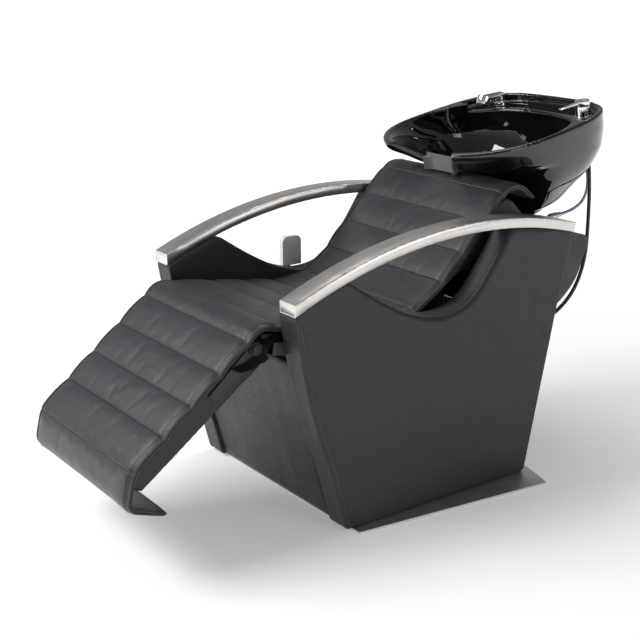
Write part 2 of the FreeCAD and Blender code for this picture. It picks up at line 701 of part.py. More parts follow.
def neck_opening(grow):
    """The space the neck comes in through, wide at the mouth and rounded at the back."""
    low, high = -150.0, 60.0
    back = NOTCH_BACK - grow
    half = NOTCH_BACK_HALF - grow
    mouth = NOTCH_MOUTH_HALF - grow
    corners = [rim(-25.0, low, -mouth), rim(-25.0, low, mouth),
               rim(back, low, half), rim(back, low, -half)]
    face = Part.Face(Part.makePolygon(corners + corners[:1]))
    shape = face.extrude(rim(0, high) - rim(0, low))

    def is_back_corner(edge):
        if abs(edge.Length - (high - low)) > 0.01:
            return False
        ends = (edge.Vertexes[0].Point, edge.Vertexes[-1].Point)
        return any((end - corner).Length < 0.01 for end in ends for corner in corners[2:])

    return rounded(shape, 34.0, is_back_corner)


def build_basin():
    body = bowl_body(0.0)
    inside = cavity(0.0)
    basin = body.cut(inside)

    # Sunken rear deck, and the hollow under it between the bowl and its outer wall
    shrunk = bowl_body(BASIN_WALL)
    basin = basin.cut(shrunk.common(rim_box(-400, 400, DECK_FRONT, BASIN_LENGTH + 20, DECK_LEVEL, 40.0)))
    below = DECK_LEVEL - DECK_THICK
    hollow = shrunk.common(rim_box(-400, 400, 330.0, BASIN_LENGTH + 20, -BASIN_DEPTH, below))
    basin = basin.cut(hollow.cut(cavity(BASIN_WALL - 3.0)))
    basin = basin.cut(neck_opening(0.0))

    # Holes: drain, deck fittings, and the way out for the hoses
    drain = cylinder(rim(DRAIN_U, -BASIN_DEPTH - 5), rim(DRAIN_U, -BASIN_DEPTH + 30), DRAIN_R)
    basin = basin.cut(drain)
    for x in (-FITTING_X, FITTING_X):
        basin = basin.cut(cylinder(rim(FITTING_U, -60.0, x), rim(FITTING_U, 10.0, x), 15.0))
    way_out = rim_box(FITTING_X - 30, FITTING_X + 30, FITTING_U - 22, FITTING_U + 22, -230.0, -100.0)
    basin = basin.cut(way_out)
    solids = sorted(basin.Solids, key=lambda s: s.Volume)
    save("basin", solids[-1])

    # Neck rest: a soft cuff over the edge at the back of the neck opening
    front = neck_opening(0.0).cut(neck_opening(GEL))
    cuff = front.common(rim_box(-GEL_HALF, GEL_HALF, NOTCH_BACK - 30, NOTCH_BACK + 5, -86.0, -48.0))
    lip = inside.cut(cavity(-GEL_LIP))
    lip = lip.common(rim_box(-GEL_HALF, GEL_HALF, NOTCH_BACK - GEL, NOTCH_BACK + 22.0, -90.0, -40.0))
    rest = cuff.fuse(lip).cut(basin).removeSplitter()
    save("neck_rest", max(rest.Solids, key=lambda s: s.Volume))
    return basin


def build_basin_fittings():
    # Yoke under the bowl: plate with a drain hole and two ears down to the pivot
    top = -BASIN_DEPTH
    plate = rim_box(-76.0, 76.0, DRAIN_U - 36, DRAIN_U + 36, top - 5.0, top)
    for x in (-76.0, 70.0):
        leg_part = prism([(PIVOT[0] - 24, 648.0), (PIVOT[0] + 24, 656.0), (PIVOT[0] + 13, PIVOT[1]),
                          (PIVOT[0] - 13, PIVOT[1])], x, x + 6)
        leg_part = leg_part.cut(rim_box(-300, 300, 0, 600, top, top + 60))
        plate = plate.fuse(leg_part).fuse(cross_bar(PIVOT, 13.0, x, x + 6))
    plate = plate.cut(cylinder(rim(DRAIN_U, top - 10), rim(DRAIN_U, top + 5), DRAIN_R + 6))
    plate = plate.cut(cross_bar(PIVOT, 6.0, -100, 100))
    save("basin_yoke", plate)
    pin = cross_bar(PIVOT, 6.0, 66.0, 94.0).fuse(cross_bar(PIVOT, 10.0, 89.0, 94.0))
    save("tilt_pins", both_sides(pin))

    # Drain fitting and hair strainer
    tail_end = -BASIN_DEPTH - DRAIN_LENGTH
    floor = -BASIN_DEPTH + BASIN_WALL
    tail = cylinder(rim(DRAIN_U, tail_end), rim(DRAIN_U, floor), DRAIN_R)
    flange = cylinder(rim(DRAIN_U, floor), rim(DRAIN_U, floor + 4.0), DRAIN_R + 12)
    nut = cylinder(rim(DRAIN_U, top - 7.0), rim(DRAIN_U, top), DRAIN_R + 5.5)
    bore = cylinder(rim(DRAIN_U, tail_end - 5), rim(DRAIN_U, 0), DRAIN_R - 3)
    seat = cylinder(rim(DRAIN_U, floor + 2), rim(DRAIN_U, floor + 10), DRAIN_R + 4)
    save("drain_fitting", tail.fuse(flange).fuse(nut).cut(bore).cut(seat))
    cup = cylinder(rim(DRAIN_U, floor - 14.0), rim(DRAIN_U, floor + 3.0), DRAIN_R - 4)
    cup = cup.fuse(cylinder(rim(DRAIN_U, floor + 2.2), rim(DRAIN_U, floor + 4.8), DRAIN_R + 3))
    cup = cup.cut(cylinder(rim(DRAIN_U, floor - 12.0), rim(DRAIN_U, floor + 8.0), DRAIN_R - 6))
    for i in range(6):
        angle = math.radians(60 * i)
        hole_x, hole_u = 9.0 * math.cos(angle), DRAIN_U + 9.0 * math.sin(angle)
        cup = cup.cut(cylinder(rim(hole_u, floor - 20, hole_x), rim(hole_u, floor, hole_x), 2.5))
    knob = cylinder(rim(DRAIN_U, floor - 13.0), rim(DRAIN_U, floor + 9.0), 3.0)
    save("hair_strainer", cup.fuse(knob))
    bellows_top = rim(DRAIN_U, tail_end)
    bellows_low = rim(DRAIN_U, tail_end - BELLOWS_LENGTH)
    save("waste_bellows", pipe(bellows_low, bellows_top, DRAIN_R + 2, DRAIN_R - 3))

    # Mixer on the left of the deck
    def deck(w, du=0.0, dx=0.0):
        return rim(FITTING_U + du, DECK_LEVEL + w, FITTING_X + dx)

    stem = cylinder(deck(-40), deck(0), 15.0)
    body = stem.fuse(cylinder(deck(0), deck(5), 23.5)).fuse(cylinder(deck(5), deck(32), 20.0))
    save("mixer_body", body)
    cap = cylinder(deck(32.5), deck(46), 20.0)
    groove = rim_box(FITTING_X - 6, FITTING_X + 6, FITTING_U - 30, FITTING_U + 8,
                     DECK_LEVEL + 36, DECK_LEVEL + 60)
    cap = cap.cut(groove).cut(cylinder(deck(41.5, 2, -14.5), deck(41.5, 2, 14.5), 2.3))
    save("mixer_cap", cap)
    lever = rim_box(FITTING_X - 5.5, FITTING_X + 5.5, FITTING_U - 84, FITTING_U + 6,
                    DECK_LEVEL + 38.5, DECK_LEVEL + 45)
    save("mixer_lever", lever.fuse(cylinder(deck(41.5, 2, -14), deck(41.5, 2, 14), 2.2)))

    # Pull-out spray on the right of the deck
    def far(w, du=0.0):
        return rim(FITTING_U + du, DECK_LEVEL + w, -FITTING_X)

    sleeve = cylinder(far(-58), far(0), 15.0).fuse(cylinder(far(0), far(12), 19.0))
    sleeve = sleeve.cut(cylinder(far(-54), far(20), 11.0))
    save("spray_sleeve", sleeve)
    handle = cylinder(far(-50), far(12.3), 10.6).fuse(cylinder(far(12.3), far(36), 13.0))
    head = cylinder(far(30), far(36, -60), 11.0)
    rose = cylinder(far(42, -58), far(22, -68), 20.0)
    save("spray_handset", handle.fuse(head).fuse(rose))

    under = -DECK_THICK
    nuts = [pipe(deck(under - 8), deck(under), 19.0, 15.0), pipe(far(under - 8), far(under), 19.0, 15.0)]
    for dx in (-INLET_GAP, INLET_GAP):
        nuts.append(cylinder(deck(-66, 0, dx), deck(-40, 0, dx), 7.0))
    save("deck_nuts", Part.makeCompound(nuts))

    back = FITTING_U + 30
    drop = DECK_LEVEL - 30
    line = [rim(FITTING_U + 13, drop, FITTING_X - 4), rim(back, drop, FITTING_X - 34),
            rim(back, drop, -FITTING_X + 34), rim(FITTING_U + 13, drop, -FITTING_X + 4)]
    tube = tube_along(line, 6.0, 16.0).cut(stem).cut(cylinder(far(-58), far(0), 15.0))
    save("transfer_pipe", tube)


def bent_path(points, radius=None):
    """Straight runs joined by tangent arcs; without a radius each arc takes what the runs allow."""
    edges, here, radii = [], points[0], []
    for i in range(1, len(points) - 1):
        before, corner, after = points[i - 1], points[i], points[i + 1]
        a, b = before - corner, after - corner
        run = min(a.Length, b.Length)
        a.normalize()
        b.normalize()
        turn = math.pi - a.getAngle(b)
        arc_r = radius or 0.45 * run / math.tan(turn / 2)
        setback = arc_r * math.tan(turn / 2)
        start, end = corner + a * setback, corner + b * setback
        out = (a + b)
        out.normalize()
        middle = corner + out * (arc_r / math.cos(turn / 2) - arc_r)
        edges.append(Part.LineSegment(here, start).toShape())
        edges.append(Part.Arc(start, middle, end).toShape())
        here = end
        radii.append(arc_r)
    edges.append(Part.LineSegment(here, points[-1]).toShape())
    return Part.Wire(edges), radii


def tube_along(points, outer, bend=None, inner=0.0):
    path, radii = bent_path(points, bend)
    direction = points[1] - points[0]

    def sweep(r):
        ring = Part.Wire([Part.makeCircle(r, points[0], direction)])
        return path.makePipeShell([ring], True, True)

    shape = sweep(outer)
    return shape.cut(sweep(inner)) if inner else shape


def cord(name, points, radius):
    path, radii = bent_path(points)
    shape = tube_along(points, radius)
    section = math.pi * radius ** 2 * path.Length
    print(name, "length", round(path.Length, 1), "radii", [round(r, 1) for r in radii],
          "volume ratio", round(shape.Volume / section, 4))
    save(name, shape)


def toward(start, end, length):
    step = end - start
    step.normalize()
    return start + step * length


# ---------------------------------------------------------------- rear and plumbing
def rear_line(z, inset):
    """y of the panels' rear edge at a height, moved inwards."""
    slope = (PANEL_BACK[0] - PANEL_HEEL[0]) / (PANEL_BACK[1] - PANEL_HEEL[1])
    return PANEL_HEEL[0] + slope * (z - PANEL_HEEL[1]) - inset


def cover_profile(inset):
    top = COVER_TOP - inset
    curve = Part.BSplineCurve()
    curve.interpolate([yz((COVER_REAR - 14 - inset * 0.4, top)), yz((COVER_REAR - inset, top - 16)),
                       yz((COVER_REAR - 10 - inset, 545)), yz((COVER_REAR - 34 - inset, 490 + inset)),
                       yz((COVER_REAR - 84 - inset, 438 + inset)), yz((COVER_FRONT + 14, REAR_LOW + 1 + inset))])
    front_low = (COVER_FRONT, REAR_LOW + 1 + inset)
    front_top = (COVER_FRONT, top)
    return Part.Wire([curve.toShape(), line_edge((COVER_FRONT + 14, REAR_LOW + 1 + inset), front_low),
                      line_edge(front_low, front_top),
                      line_edge(front_top, (COVER_REAR - 14 - inset * 0.4, top))])


def build_rear():
    outer = extrude_x(cover_profile(0.0), -COVER_HALF, COVER_HALF)
    side = COVER_HALF - COVER_WALL
    inner = extrude_x(cover_profile(COVER_WALL), -side, side)
    reach = box(-side, side, COVER_FRONT - 1, COVER_FRONT + 8, REAR_LOW + 10, COVER_TOP - COVER_WALL)
    cover = outer.cut(inner).cut(reach)
    cover = cover.cut(box(-112, 112, 440.0, 536.0, 560, 640))
    elbow_hole = cylinder(V(130, 520, 580), V(130, 520, 620), 12.0)
    cover = cover.cut(elbow_hole)
    save("rear_cover", cover)

    low, high = PLATE_THICK, REAR_LOW
    panel = prism([(rear_line(low, 8), low), (rear_line(high, 8), high), (rear_line(high, 20), high),
                   (rear_line(low, 20), low)], -PANEL_INNER, PANEL_INNER)
    outlet = V(WASTE_OUT[0], 200, WASTE_OUT[1])
    holes = [cylinder(outlet, outlet + V(0, 200, 0), WASTE_R + 2)]
    for x in (COLD_X, HOT_X):
        holes.append(cylinder(V(x, 200, INLET_Z), V(x, 400, INLET_Z), SUPPLY_R + 1))
    gland_start, gland_dir = black_route()[-1], black_route()[-2]
    gland_end = toward(gland_start, gland_dir, -44.0)
    holes.append(cylinder(gland_start, gland_end, 9.0))
    for hole in holes:
        panel = panel.cut(hole)
    save("rear_panel", panel)
    gland = cylinder(gland_start, gland_end, 9.0).fuse(
        cylinder(gland_start, toward(gland_start, gland_dir, -8.0), 12.0))
    gland = gland.cut(cylinder(toward(gland_start, gland_dir, -36.0), gland_end, SUPPLY_R))
    save("hose_gland", gland)
    return gland_end


def black_route():
    """The black hose from the mixer down behind the bowl and into the rear panel."""
    start = rim(FITTING_U, DECK_LEVEL - 66, FITTING_X + INLET_GAP)
    first = rim(FITTING_U, DECK_LEVEL - 164, FITTING_X + INLET_GAP)
    return [start, first, V(169, 638, 604), V(170, 634, 498), V(170, 588, 402),
            V(170, 482, 345), V(170, 366, 338)]


def tail_route():
    """The thin braided tail from the head elbow round and up to the mixer."""
    end = rim(FITTING_U, DECK_LEVEL - 66, FITTING_X - INLET_GAP)
    before = rim(FITTING_U, DECK_LEVEL - 116, FITTING_X - INLET_GAP)
    return [V(130, 566, 634), V(130, 616, 638), V(144, 650, 672), V(151, 648, 736), before, end]


def build_plumbing(gland_end):
    # Waste pipe with its water trap low in the cabinet
    top = rim(DRAIN_U, -BASIN_DEPTH - DRAIN_LENGTH - BELLOWS_LENGTH)
    entry = toward(top, rim(DRAIN_U, 0), -34.0)
    line = [top, entry, V(0, 238, 482), V(0, 232, 114), V(WASTE_OUT[0], 232, 114),
            V(WASTE_OUT[0], 232, WASTE_OUT[1]), V(WASTE_OUT[0], 330, WASTE_OUT[1])]
    trap = tube_along(line, WASTE_R, 30.0, WASTE_R - 3)
    spigot = pipe(V(WASTE_OUT[0], 322, WASTE_OUT[1]), V(WASTE_OUT[0], 348, WASTE_OUT[1]),
                  WASTE_R + 1.5, WASTE_R - 3)
    save("waste_pipe", trap.fuse(spigot).removeSplitter())

    valves = []
    for name, x in (("cold", COLD_X), ("hot", HOT_X)):
        face = rear_line(INLET_Z, 8) + 4
        body = cylinder(V(x, face, INLET_Z), V(x, face + 46, INLET_Z), 14.0)
        body = body.fuse(cylinder(V(x, face + 46, INLET_Z), V(x, INLET_END, INLET_Z), INLET_R))
        body = body.fuse(cylinder(V(x, face + 23, INLET_Z), V(x, face + 23, INLET_Z + 24), 7.0))
        body = body.cut(cylinder(V(x, face - 1, INLET_Z), V(x, face + 10, INLET_Z), SUPPLY_R))
        body = body.cut(cylinder(V(x, INLET_END - 16, INLET_Z), V(x, INLET_END + 1, INLET_Z), INLET_R - 3))
        valves.append(body)
        hub = cylinder(V(x, face + 23, INLET_Z + 24.5), V(x, face + 23, INLET_Z + 34), 8.0)
        handle = box(x - 5, x + 5, face + 23, face + 23 + LEVER_REACH, INLET_Z + 28, INLET_Z + 33)
        save("valve_lever_" + name, hub.fuse(handle))
    save("stop_valves", Part.makeCompound(valves))

    face = rear_line(INLET_Z, 8) + 14
    gland_mouth = black_route()[-1]
    turn_in = toward(gland_end, gland_mouth, -75.0)
    cold = [V(COLD_X, face, INLET_Z), V(COLD_X, turn_in.y, INLET_Z), turn_in,
            toward(gland_end, gland_mouth, 7.0)]
    hot = [V(HOT_X, face, INLET_Z), V(HOT_X, 250, INLET_Z), V(HOT_X, 250, 500), V(124, 420, 530),
           V(130, 520, 545), V(130, 520, 590)]
    pipes = [tube_along(line, SUPPLY_R, 18.0) for line in (cold, hot)]
    save("supply_pipes", Part.makeCompound(pipes))
    route = tail_route()
    nut_start = toward(route[0], route[1], -14.0)
    elbow = tube_along([V(130, 520, 590), V(130, 520, 631), nut_start], 9.0, 10.5)
    nut = cylinder(nut_start, route[0], 7.0).cut(elbow)
    save("head_elbow", Part.makeCompound([elbow, nut]))
    cord("black_hose", black_route(), BLACK_R)
    cord("braided_tail", route, TAIL_R)


def main():
    os.makedirs("parts", exist_ok=True)
    bolts = build_base()
    save("frame_bolts", bolts)
    studs = build_panels()
    build_armrests(studs)
    build_apron()
    build_pads()
    hinge_bushes = build_leg_rest()
    lever_bush = build_spring()
    save("shaft_bushes", Part.makeCompound([hinge_bushes, lever_bush]))
    build_frame(bolts)
    build_basin()
    build_basin_fittings()
    gland_end = build_rear()
    build_plumbing(gland_end)


main()
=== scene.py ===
"""Looks of the shampoo backwash unit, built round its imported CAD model. Metres."""
import json
import math

import bmesh
import bpy
import numpy as np
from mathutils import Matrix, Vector, noise


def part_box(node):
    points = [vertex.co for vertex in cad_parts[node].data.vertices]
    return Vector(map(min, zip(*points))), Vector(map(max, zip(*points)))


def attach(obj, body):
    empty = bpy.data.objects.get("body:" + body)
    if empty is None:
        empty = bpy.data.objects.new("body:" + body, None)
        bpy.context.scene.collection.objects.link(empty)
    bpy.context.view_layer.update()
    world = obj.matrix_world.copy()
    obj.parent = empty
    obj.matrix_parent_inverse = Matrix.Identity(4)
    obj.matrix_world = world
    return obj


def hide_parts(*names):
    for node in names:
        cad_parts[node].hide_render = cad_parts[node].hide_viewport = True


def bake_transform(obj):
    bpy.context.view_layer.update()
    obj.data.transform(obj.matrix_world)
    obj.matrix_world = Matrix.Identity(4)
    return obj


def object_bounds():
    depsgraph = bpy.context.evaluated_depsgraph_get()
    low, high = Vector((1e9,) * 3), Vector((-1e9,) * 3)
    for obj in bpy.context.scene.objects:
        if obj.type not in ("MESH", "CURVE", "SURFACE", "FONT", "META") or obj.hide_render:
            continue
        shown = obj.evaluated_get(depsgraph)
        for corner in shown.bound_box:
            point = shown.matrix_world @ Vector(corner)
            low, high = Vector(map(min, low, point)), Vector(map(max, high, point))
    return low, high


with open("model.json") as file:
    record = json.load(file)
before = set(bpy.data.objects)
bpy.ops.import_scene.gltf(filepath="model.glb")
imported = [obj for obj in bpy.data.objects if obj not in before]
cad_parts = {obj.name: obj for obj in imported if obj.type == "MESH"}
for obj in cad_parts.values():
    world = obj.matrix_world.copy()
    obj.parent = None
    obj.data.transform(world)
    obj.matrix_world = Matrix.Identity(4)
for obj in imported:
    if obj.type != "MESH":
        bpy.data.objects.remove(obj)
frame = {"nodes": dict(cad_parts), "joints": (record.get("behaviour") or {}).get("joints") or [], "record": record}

CAD_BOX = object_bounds()
NODES = frame["nodes"]
JOINTS = {joint["name"]: joint for joint in frame["joints"]}

# Lines of the seat and leg rest in side view, as (y, z)
HINGE = tuple(JOINTS["leg_rest_hinge"]["pos_m"][1:])
SEAT_SLOPE = math.radians(8.6)
BEND_CENTRE = (-0.121, 0.694)
BEND_R = 0.210
NOSE_CENTRE = (0.275, 0.699)
NOSE_R = 0.070
NOSE_END = math.radians(45.0)
NOSE_TAIL = 0.035
LEG_DROP = math.radians(38.8)
LEG_TOP = 0.051
KNUCKLE = (0.394, LEG_TOP)
TOE_CORNER = (0.468, -0.012)
TOE_TIP = (0.405, -0.099)
PAD_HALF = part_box("seat_back_pad")[1].x
PAD_THICK = 0.030
PAD_LIP = 0.008
CROWN = 0.0042
EDGE_DIP = 0.0068

# The pad's cover: how far it puffs up as cloth, and the spacing of its cross sections
PUFF_PRESSURE = 2.0
PUFF_SLACK = 0.003
PUFF_CAP = 0.0020
CLOTH_FRAMES = 20
SEAM_HALF = 0.0012
SEAM_CLEAR = 0.0032
CHANNEL_STEP = 0.0090

# Its cross section: the lip as (x, offset), the underside as (x, share of the thickness),
# and the piping as (x, offset, radius)
TOP_HALF = 0.226
EDGE_STITCH = 0.2265
EDGE_LIP = [(0.2325, -0.0026), (0.2368, -0.0040), (0.2392, -0.0068), (0.2388, -0.0104), (0.2360, -0.0132)]
EDGE_UNDER = [(0.226, 0.62), (0.208, 0.93), (0.196, 1.0)]
EDGE_PIPING = [(0.2392, -0.0046, 0.0027), (0.2378, -0.0128, 0.0020)]

# Side panels
PANEL_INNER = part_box("panel_cover_left")[0].x
PANEL_WRAP = 0.0015
PANEL_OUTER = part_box("panel_cover_left")[1].x
PANEL_CENTRE = np.array([-0.02, 0.25])
PANEL_EDGE = 0.0125
PANEL_DIMPLE = 0.0012
FRONT_WELTS = [(0.0020, 0.0050, 0.0013), (0.0115, 0.0016, 0.0011)]
FRONT_SEAM = 0.0165
BAR_CENTRE = (0.085, -0.596)
BAR_RADIUS = 1.278

# Apron between the panels: (y, z) of the line its front face lies on, and the slot for the spring rod
APRON_FOOT = (-0.300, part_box("apron_cover")[0].z)
APRON_TOP = (-0.418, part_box("apron_cover")[1].z)
APRON_THICK = 0.0056
APRON_SLOT_HALF = 0.021
APRON_SLOT_FROM = 0.80

# Cords and the basin's rim that they hang from
BASIN_LIP = (0.135, 0.834)
BASIN_TILT = math.radians(11.0)
FITTING_U = 0.472
FITTING_X = 0.158
DECK_LEVEL = -0.024
BLACK_R = 0.00525
TAIL_R = 0.0045


# ---------------------------------------------------------------- materials
class Shader:
    """A material under construction, with short ways to add nodes."""

    def __init__(self, name):
        self.material = bpy.data.materials.new(name)
        self.material.use_nodes = True
        self.tree = self.material.node_tree
        self.surface = self.tree.nodes["Principled BSDF"]
        self.coords = self.tree.nodes.new("ShaderNodeTexCoord").outputs["Object"]

    def set(self, **values):
        for key, value in values.items():
            self.surface.inputs[key.replace("_", " ")].default_value = value

    def link(self, output, target):
        self.tree.links.new(output, target)

    def stretched(self, scale):
        node = self.tree.nodes.new("ShaderNodeMapping")
        node.inputs["Scale"].default_value = scale
        self.link(self.coords, node.inputs["Vector"])
        return node.outputs["Vector"]

    def noise(self, scale, detail=3.0, roughness=0.5, vector=None):
        node = self.tree.nodes.new("ShaderNodeTexNoise")
        node.inputs["Scale"].default_value = scale
        node.inputs["Detail"].default_value = detail
        node.inputs["Roughness"].default_value = roughness
        self.link(vector or self.coords, node.inputs["Vector"])
        return node.outputs["Fac"]

    def cells(self, scale, feature="DISTANCE_TO_EDGE"):
        node = self.tree.nodes.new("ShaderNodeTexVoronoi")
        node.feature = feature
        node.inputs["Scale"].default_value = scale
        self.link(self.coords, node.inputs["Vector"])
        return node.outputs["Distance"]

    def math(self, operation, a, b):
        node = self.tree.nodes.new("ShaderNodeMath")
        node.operation = operation
        for socket, value in zip(node.inputs, (a, b)):
            if isinstance(value, (int, float)):
                socket.default_value = value
            else:
                self.link(value, socket)
        return node.outputs["Value"]

    def remap(self, value, low, high, out_low, out_high):
        node = self.tree.nodes.new("ShaderNodeMapRange")
        limits = {"From Min": low, "From Max": high, "To Min": out_low, "To Max": out_high}
        for key, number in limits.items():
            node.inputs[key].default_value = number
        self.link(value, node.inputs["Value"])
        return node.outputs["Result"]

    def colour(self, value, dark, light):
        node = self.tree.nodes.new("ShaderNodeMix")
        node.data_type = "RGBA"
        node.inputs[6].default_value = (*dark, 1.0)
        node.inputs[7].default_value = (*light, 1.0)
        self.link(value, node.inputs["Factor"])
        self.link(node.outputs[2], self.surface.inputs["Base Color"])

    def bump(self, height, depth, strength=1.0, over=None):
        node = self.tree.nodes.new("ShaderNodeBump")
        node.inputs["Distance"].default_value = depth
        node.inputs["Strength"].default_value = strength
        self.link(height, node.inputs["Height"])
        if over is not None:
            self.link(over, node.inputs["Normal"])
        self.link(node.outputs["Normal"], self.surface.inputs["Normal"])
        return node.outputs["Normal"]

    def rough(self, value):
        self.link(value, self.surface.inputs["Roughness"])


def leather(name, dark, light, rough_low, rough_high, crease=0.5, shine=0.5):
    """Smooth upholstery leather: fine pebble grain, soft creases and a slow change of tone."""
    s = Shader(name)
    s.set(Specular_IOR_Level=shine, Sheen_Weight=0.06, Sheen_Roughness=0.5)
    tone = s.noise(9.0, 5.0, 0.6)
    grain = s.remap(s.cells(620.0), 0.0, 0.35, 0.0, 1.0)
    s.colour(s.math("MULTIPLY", s.remap(tone, 0.3, 0.7, 0.25, 1.0), s.remap(grain, 0.0, 1.0, 0.6, 1.0)),
             dark, light)
    s.rough(s.remap(s.noise(26.0, 4.0), 0.3, 0.7, rough_low, rough_high))
    soft = s.bump(s.noise(34.0, 3.0, 0.45), 0.0016, crease)
    pebble = s.bump(grain, 0.00022, 0.6, soft)
    s.bump(s.noise(1500.0, 2.0), 0.0001, 0.4, pebble)
    return s.material


def brushed(name, dark, light, scale, rough_low=0.24, rough_high=0.42):
    """Metal with fine straight brush lines; the smallest number in scale is along the lines."""
    s = Shader(name)
    s.set(Metallic=1.0)
    lines = s.noise(1.0, 4.0, 0.65, s.stretched(scale))
    s.colour(s.remap(lines, 0.25, 0.75, 0.0, 1.0), dark, light)
    cloudy = s.noise(7.0, 3.0)
    streaks = s.remap(lines, 0.3, 0.7, rough_low, rough_high)
    s.rough(s.math("ADD", streaks, s.remap(cloudy, 0.3, 0.7, -0.03, 0.03)))
    s.bump(lines, 0.00012, 0.5)
    return s.material


def arc_brushed(name, dark, light):
    """Brushed nickel whose lines follow the armrest's arc."""
    s = Shader(name)
    s.set(Metallic=1.0)
    split = s.tree.nodes.new("ShaderNodeSeparateXYZ")
    s.link(s.coords, split.inputs[0])
    y = s.math("SUBTRACT", split.outputs["Y"], BAR_CENTRE[0])
    z = s.math("SUBTRACT", split.outputs["Z"], BAR_CENTRE[1])
    reach = s.math("SQRT", s.math("ADD", s.math("MULTIPLY", y, y), s.math("MULTIPLY", z, z)), 0.0)
    turn = s.math("ARCTAN2", z, y)
    join = s.tree.nodes.new("ShaderNodeCombineXYZ")
    for value, factor, key in ((split.outputs["X"], 900.0, "X"), (reach, 900.0, "Y"), (turn, 14.0, "Z")):
        s.link(s.math("MULTIPLY", value, factor), join.inputs[key])
    lines = s.noise(1.0, 4.0, 0.6, join.outputs[0])
    s.colour(s.remap(lines, 0.25, 0.75, 0.0, 1.0), dark, light)
    streaks = s.remap(lines, 0.3, 0.7, 0.26, 0.40)
    s.rough(s.math("ADD", streaks, s.remap(s.noise(5.0), 0.3, 0.7, -0.02, 0.04)))
    s.bump(lines, 0.0001, 0.5)
    return s.material


def glossy(name, colour, low, high, coat=0.0, orange_peel=0.00006):
    """Hard shiny shell with faint smears and orange peel."""
    s = Shader(name)
    s.set(Coat_Weight=coat, Coat_Roughness=0.02)
    smear = s.noise(11.0, 5.0, 0.6)
    s.colour(smear, colour, tuple(c * 1.5 + 0.001 for c in colour))
    s.rough(s.remap(smear, 0.3, 0.7, low, high))
    s.bump(s.noise(60.0, 1.0), orange_peel, 0.5)
    return s.material


def chrome(name):
    s = Shader(name)
    s.set(Metallic=1.0)
    smear = s.noise(45.0, 4.0, 0.6)
    s.colour(smear, (0.72, 0.73, 0.75), (0.90, 0.91, 0.93))
    s.rough(s.remap(smear, 0.3, 0.75, 0.04, 0.13))
    s.bump(s.noise(300.0, 2.0), 0.00002, 0.4)
    return s.material


def moulded(name, dark, light, rough=0.5, grain=900.0, depth=0.00012):
    """Moulded plastic or rubber with a fine spark-eroded texture."""
    s = Shader(name)
    s.colour(s.remap(s.noise(14.0, 4.0), 0.3, 0.7, 0.0, 1.0), dark, light)
    s.rough(s.remap(s.noise(40.0, 3.0), 0.3, 0.7, rough - 0.07, rough + 0.07))
    s.bump(s.noise(grain, 2.0), depth, 0.6)
    return s.material


def powder_coat(name, dark, light):
    s = Shader(name)
    s.colour(s.noise(20.0, 4.0), dark, light)
    s.rough(s.remap(s.noise(60.0, 3.0), 0.3, 0.7, 0.36, 0.5))
    s.bump(s.noise(420.0, 2.0), 0.00015, 0.7)
    return s.material


def plywood(name):
    s = Shader(name)
    rings = s.noise(1.0, 5.0, 0.6, s.stretched((14.0, 120.0, 120.0)))
    s.colour(s.remap(rings, 0.3, 0.7, 0.0, 1.0), (0.34, 0.22, 0.12), (0.62, 0.46, 0.29))
    s.rough(s.remap(rings, 0.3, 0.7, 0.55, 0.75))
    s.bump(rings, 0.0003, 0.5)
    return s.material


def braided(name):
    """Woven steel sleeve on a thin hose: two crossing sets of fine diagonal ridges."""
    s = Shader(name)
    s.set(Metallic=1.0)
    weave = s.math("MULTIPLY", s.cells(900.0, "F1"), s.noise(900.0, 2.0))
    s.colour(s.remap(weave, 0.0, 0.4, 0.0, 1.0), (0.16, 0.165, 0.17), (0.62, 0.63, 0.65))
    s.rough(s.remap(weave, 0.0, 0.4, 0.45, 0.25))
    s.bump(weave, 0.0004, 0.8)
    return s.material


PAD_LEATHER = leather("pad_leather", (0.019, 0.020, 0.023), (0.032, 0.033, 0.038), 0.34, 0.45)
# Darker copy of the pad leather, at about half its tone: painted shade for the side panels, which face away from
# the key, and for the boxes under the pads' overhang
SHADED_PANEL_LEATHER = leather("panel_leather", (0.010, 0.011, 0.0135), (0.016, 0.0175, 0.021), 0.42, 0.54, 0.35)
# Still darker, glossier copy of the leather for the apron: its darkness is painted shade under the leg rest
SHADED_APRON_LEATHER = leather("apron_leather_shaded", (0.008, 0.0085, 0.010), (0.012, 0.0125, 0.0145), 0.26, 0.30,
                        crease=0.05, shine=0.18)
PIPING = leather("piping_leather", (0.030, 0.031, 0.034), (0.050, 0.051, 0.056), 0.28, 0.38, 0.3)
# Near-black leather for the knee gusset: painted shade in the gap under the pad
SHADE_LINING = leather("shade_lining", (0.0045, 0.0045, 0.005), (0.008, 0.008, 0.009), 0.5, 0.62, 0.3)
THREAD = moulded("thread", (0.020, 0.020, 0.024), (0.050, 0.050, 0.056), 0.6, 2500.0, 0.00008)
NICKEL = arc_brushed("brushed_nickel", (0.60, 0.57, 0.53), (0.80, 0.77, 0.72))
PLATE = brushed("brushed_plate", (0.64, 0.64, 0.63), (0.86, 0.86, 0.85), (8.0, 700.0, 700.0), 0.34, 0.50)
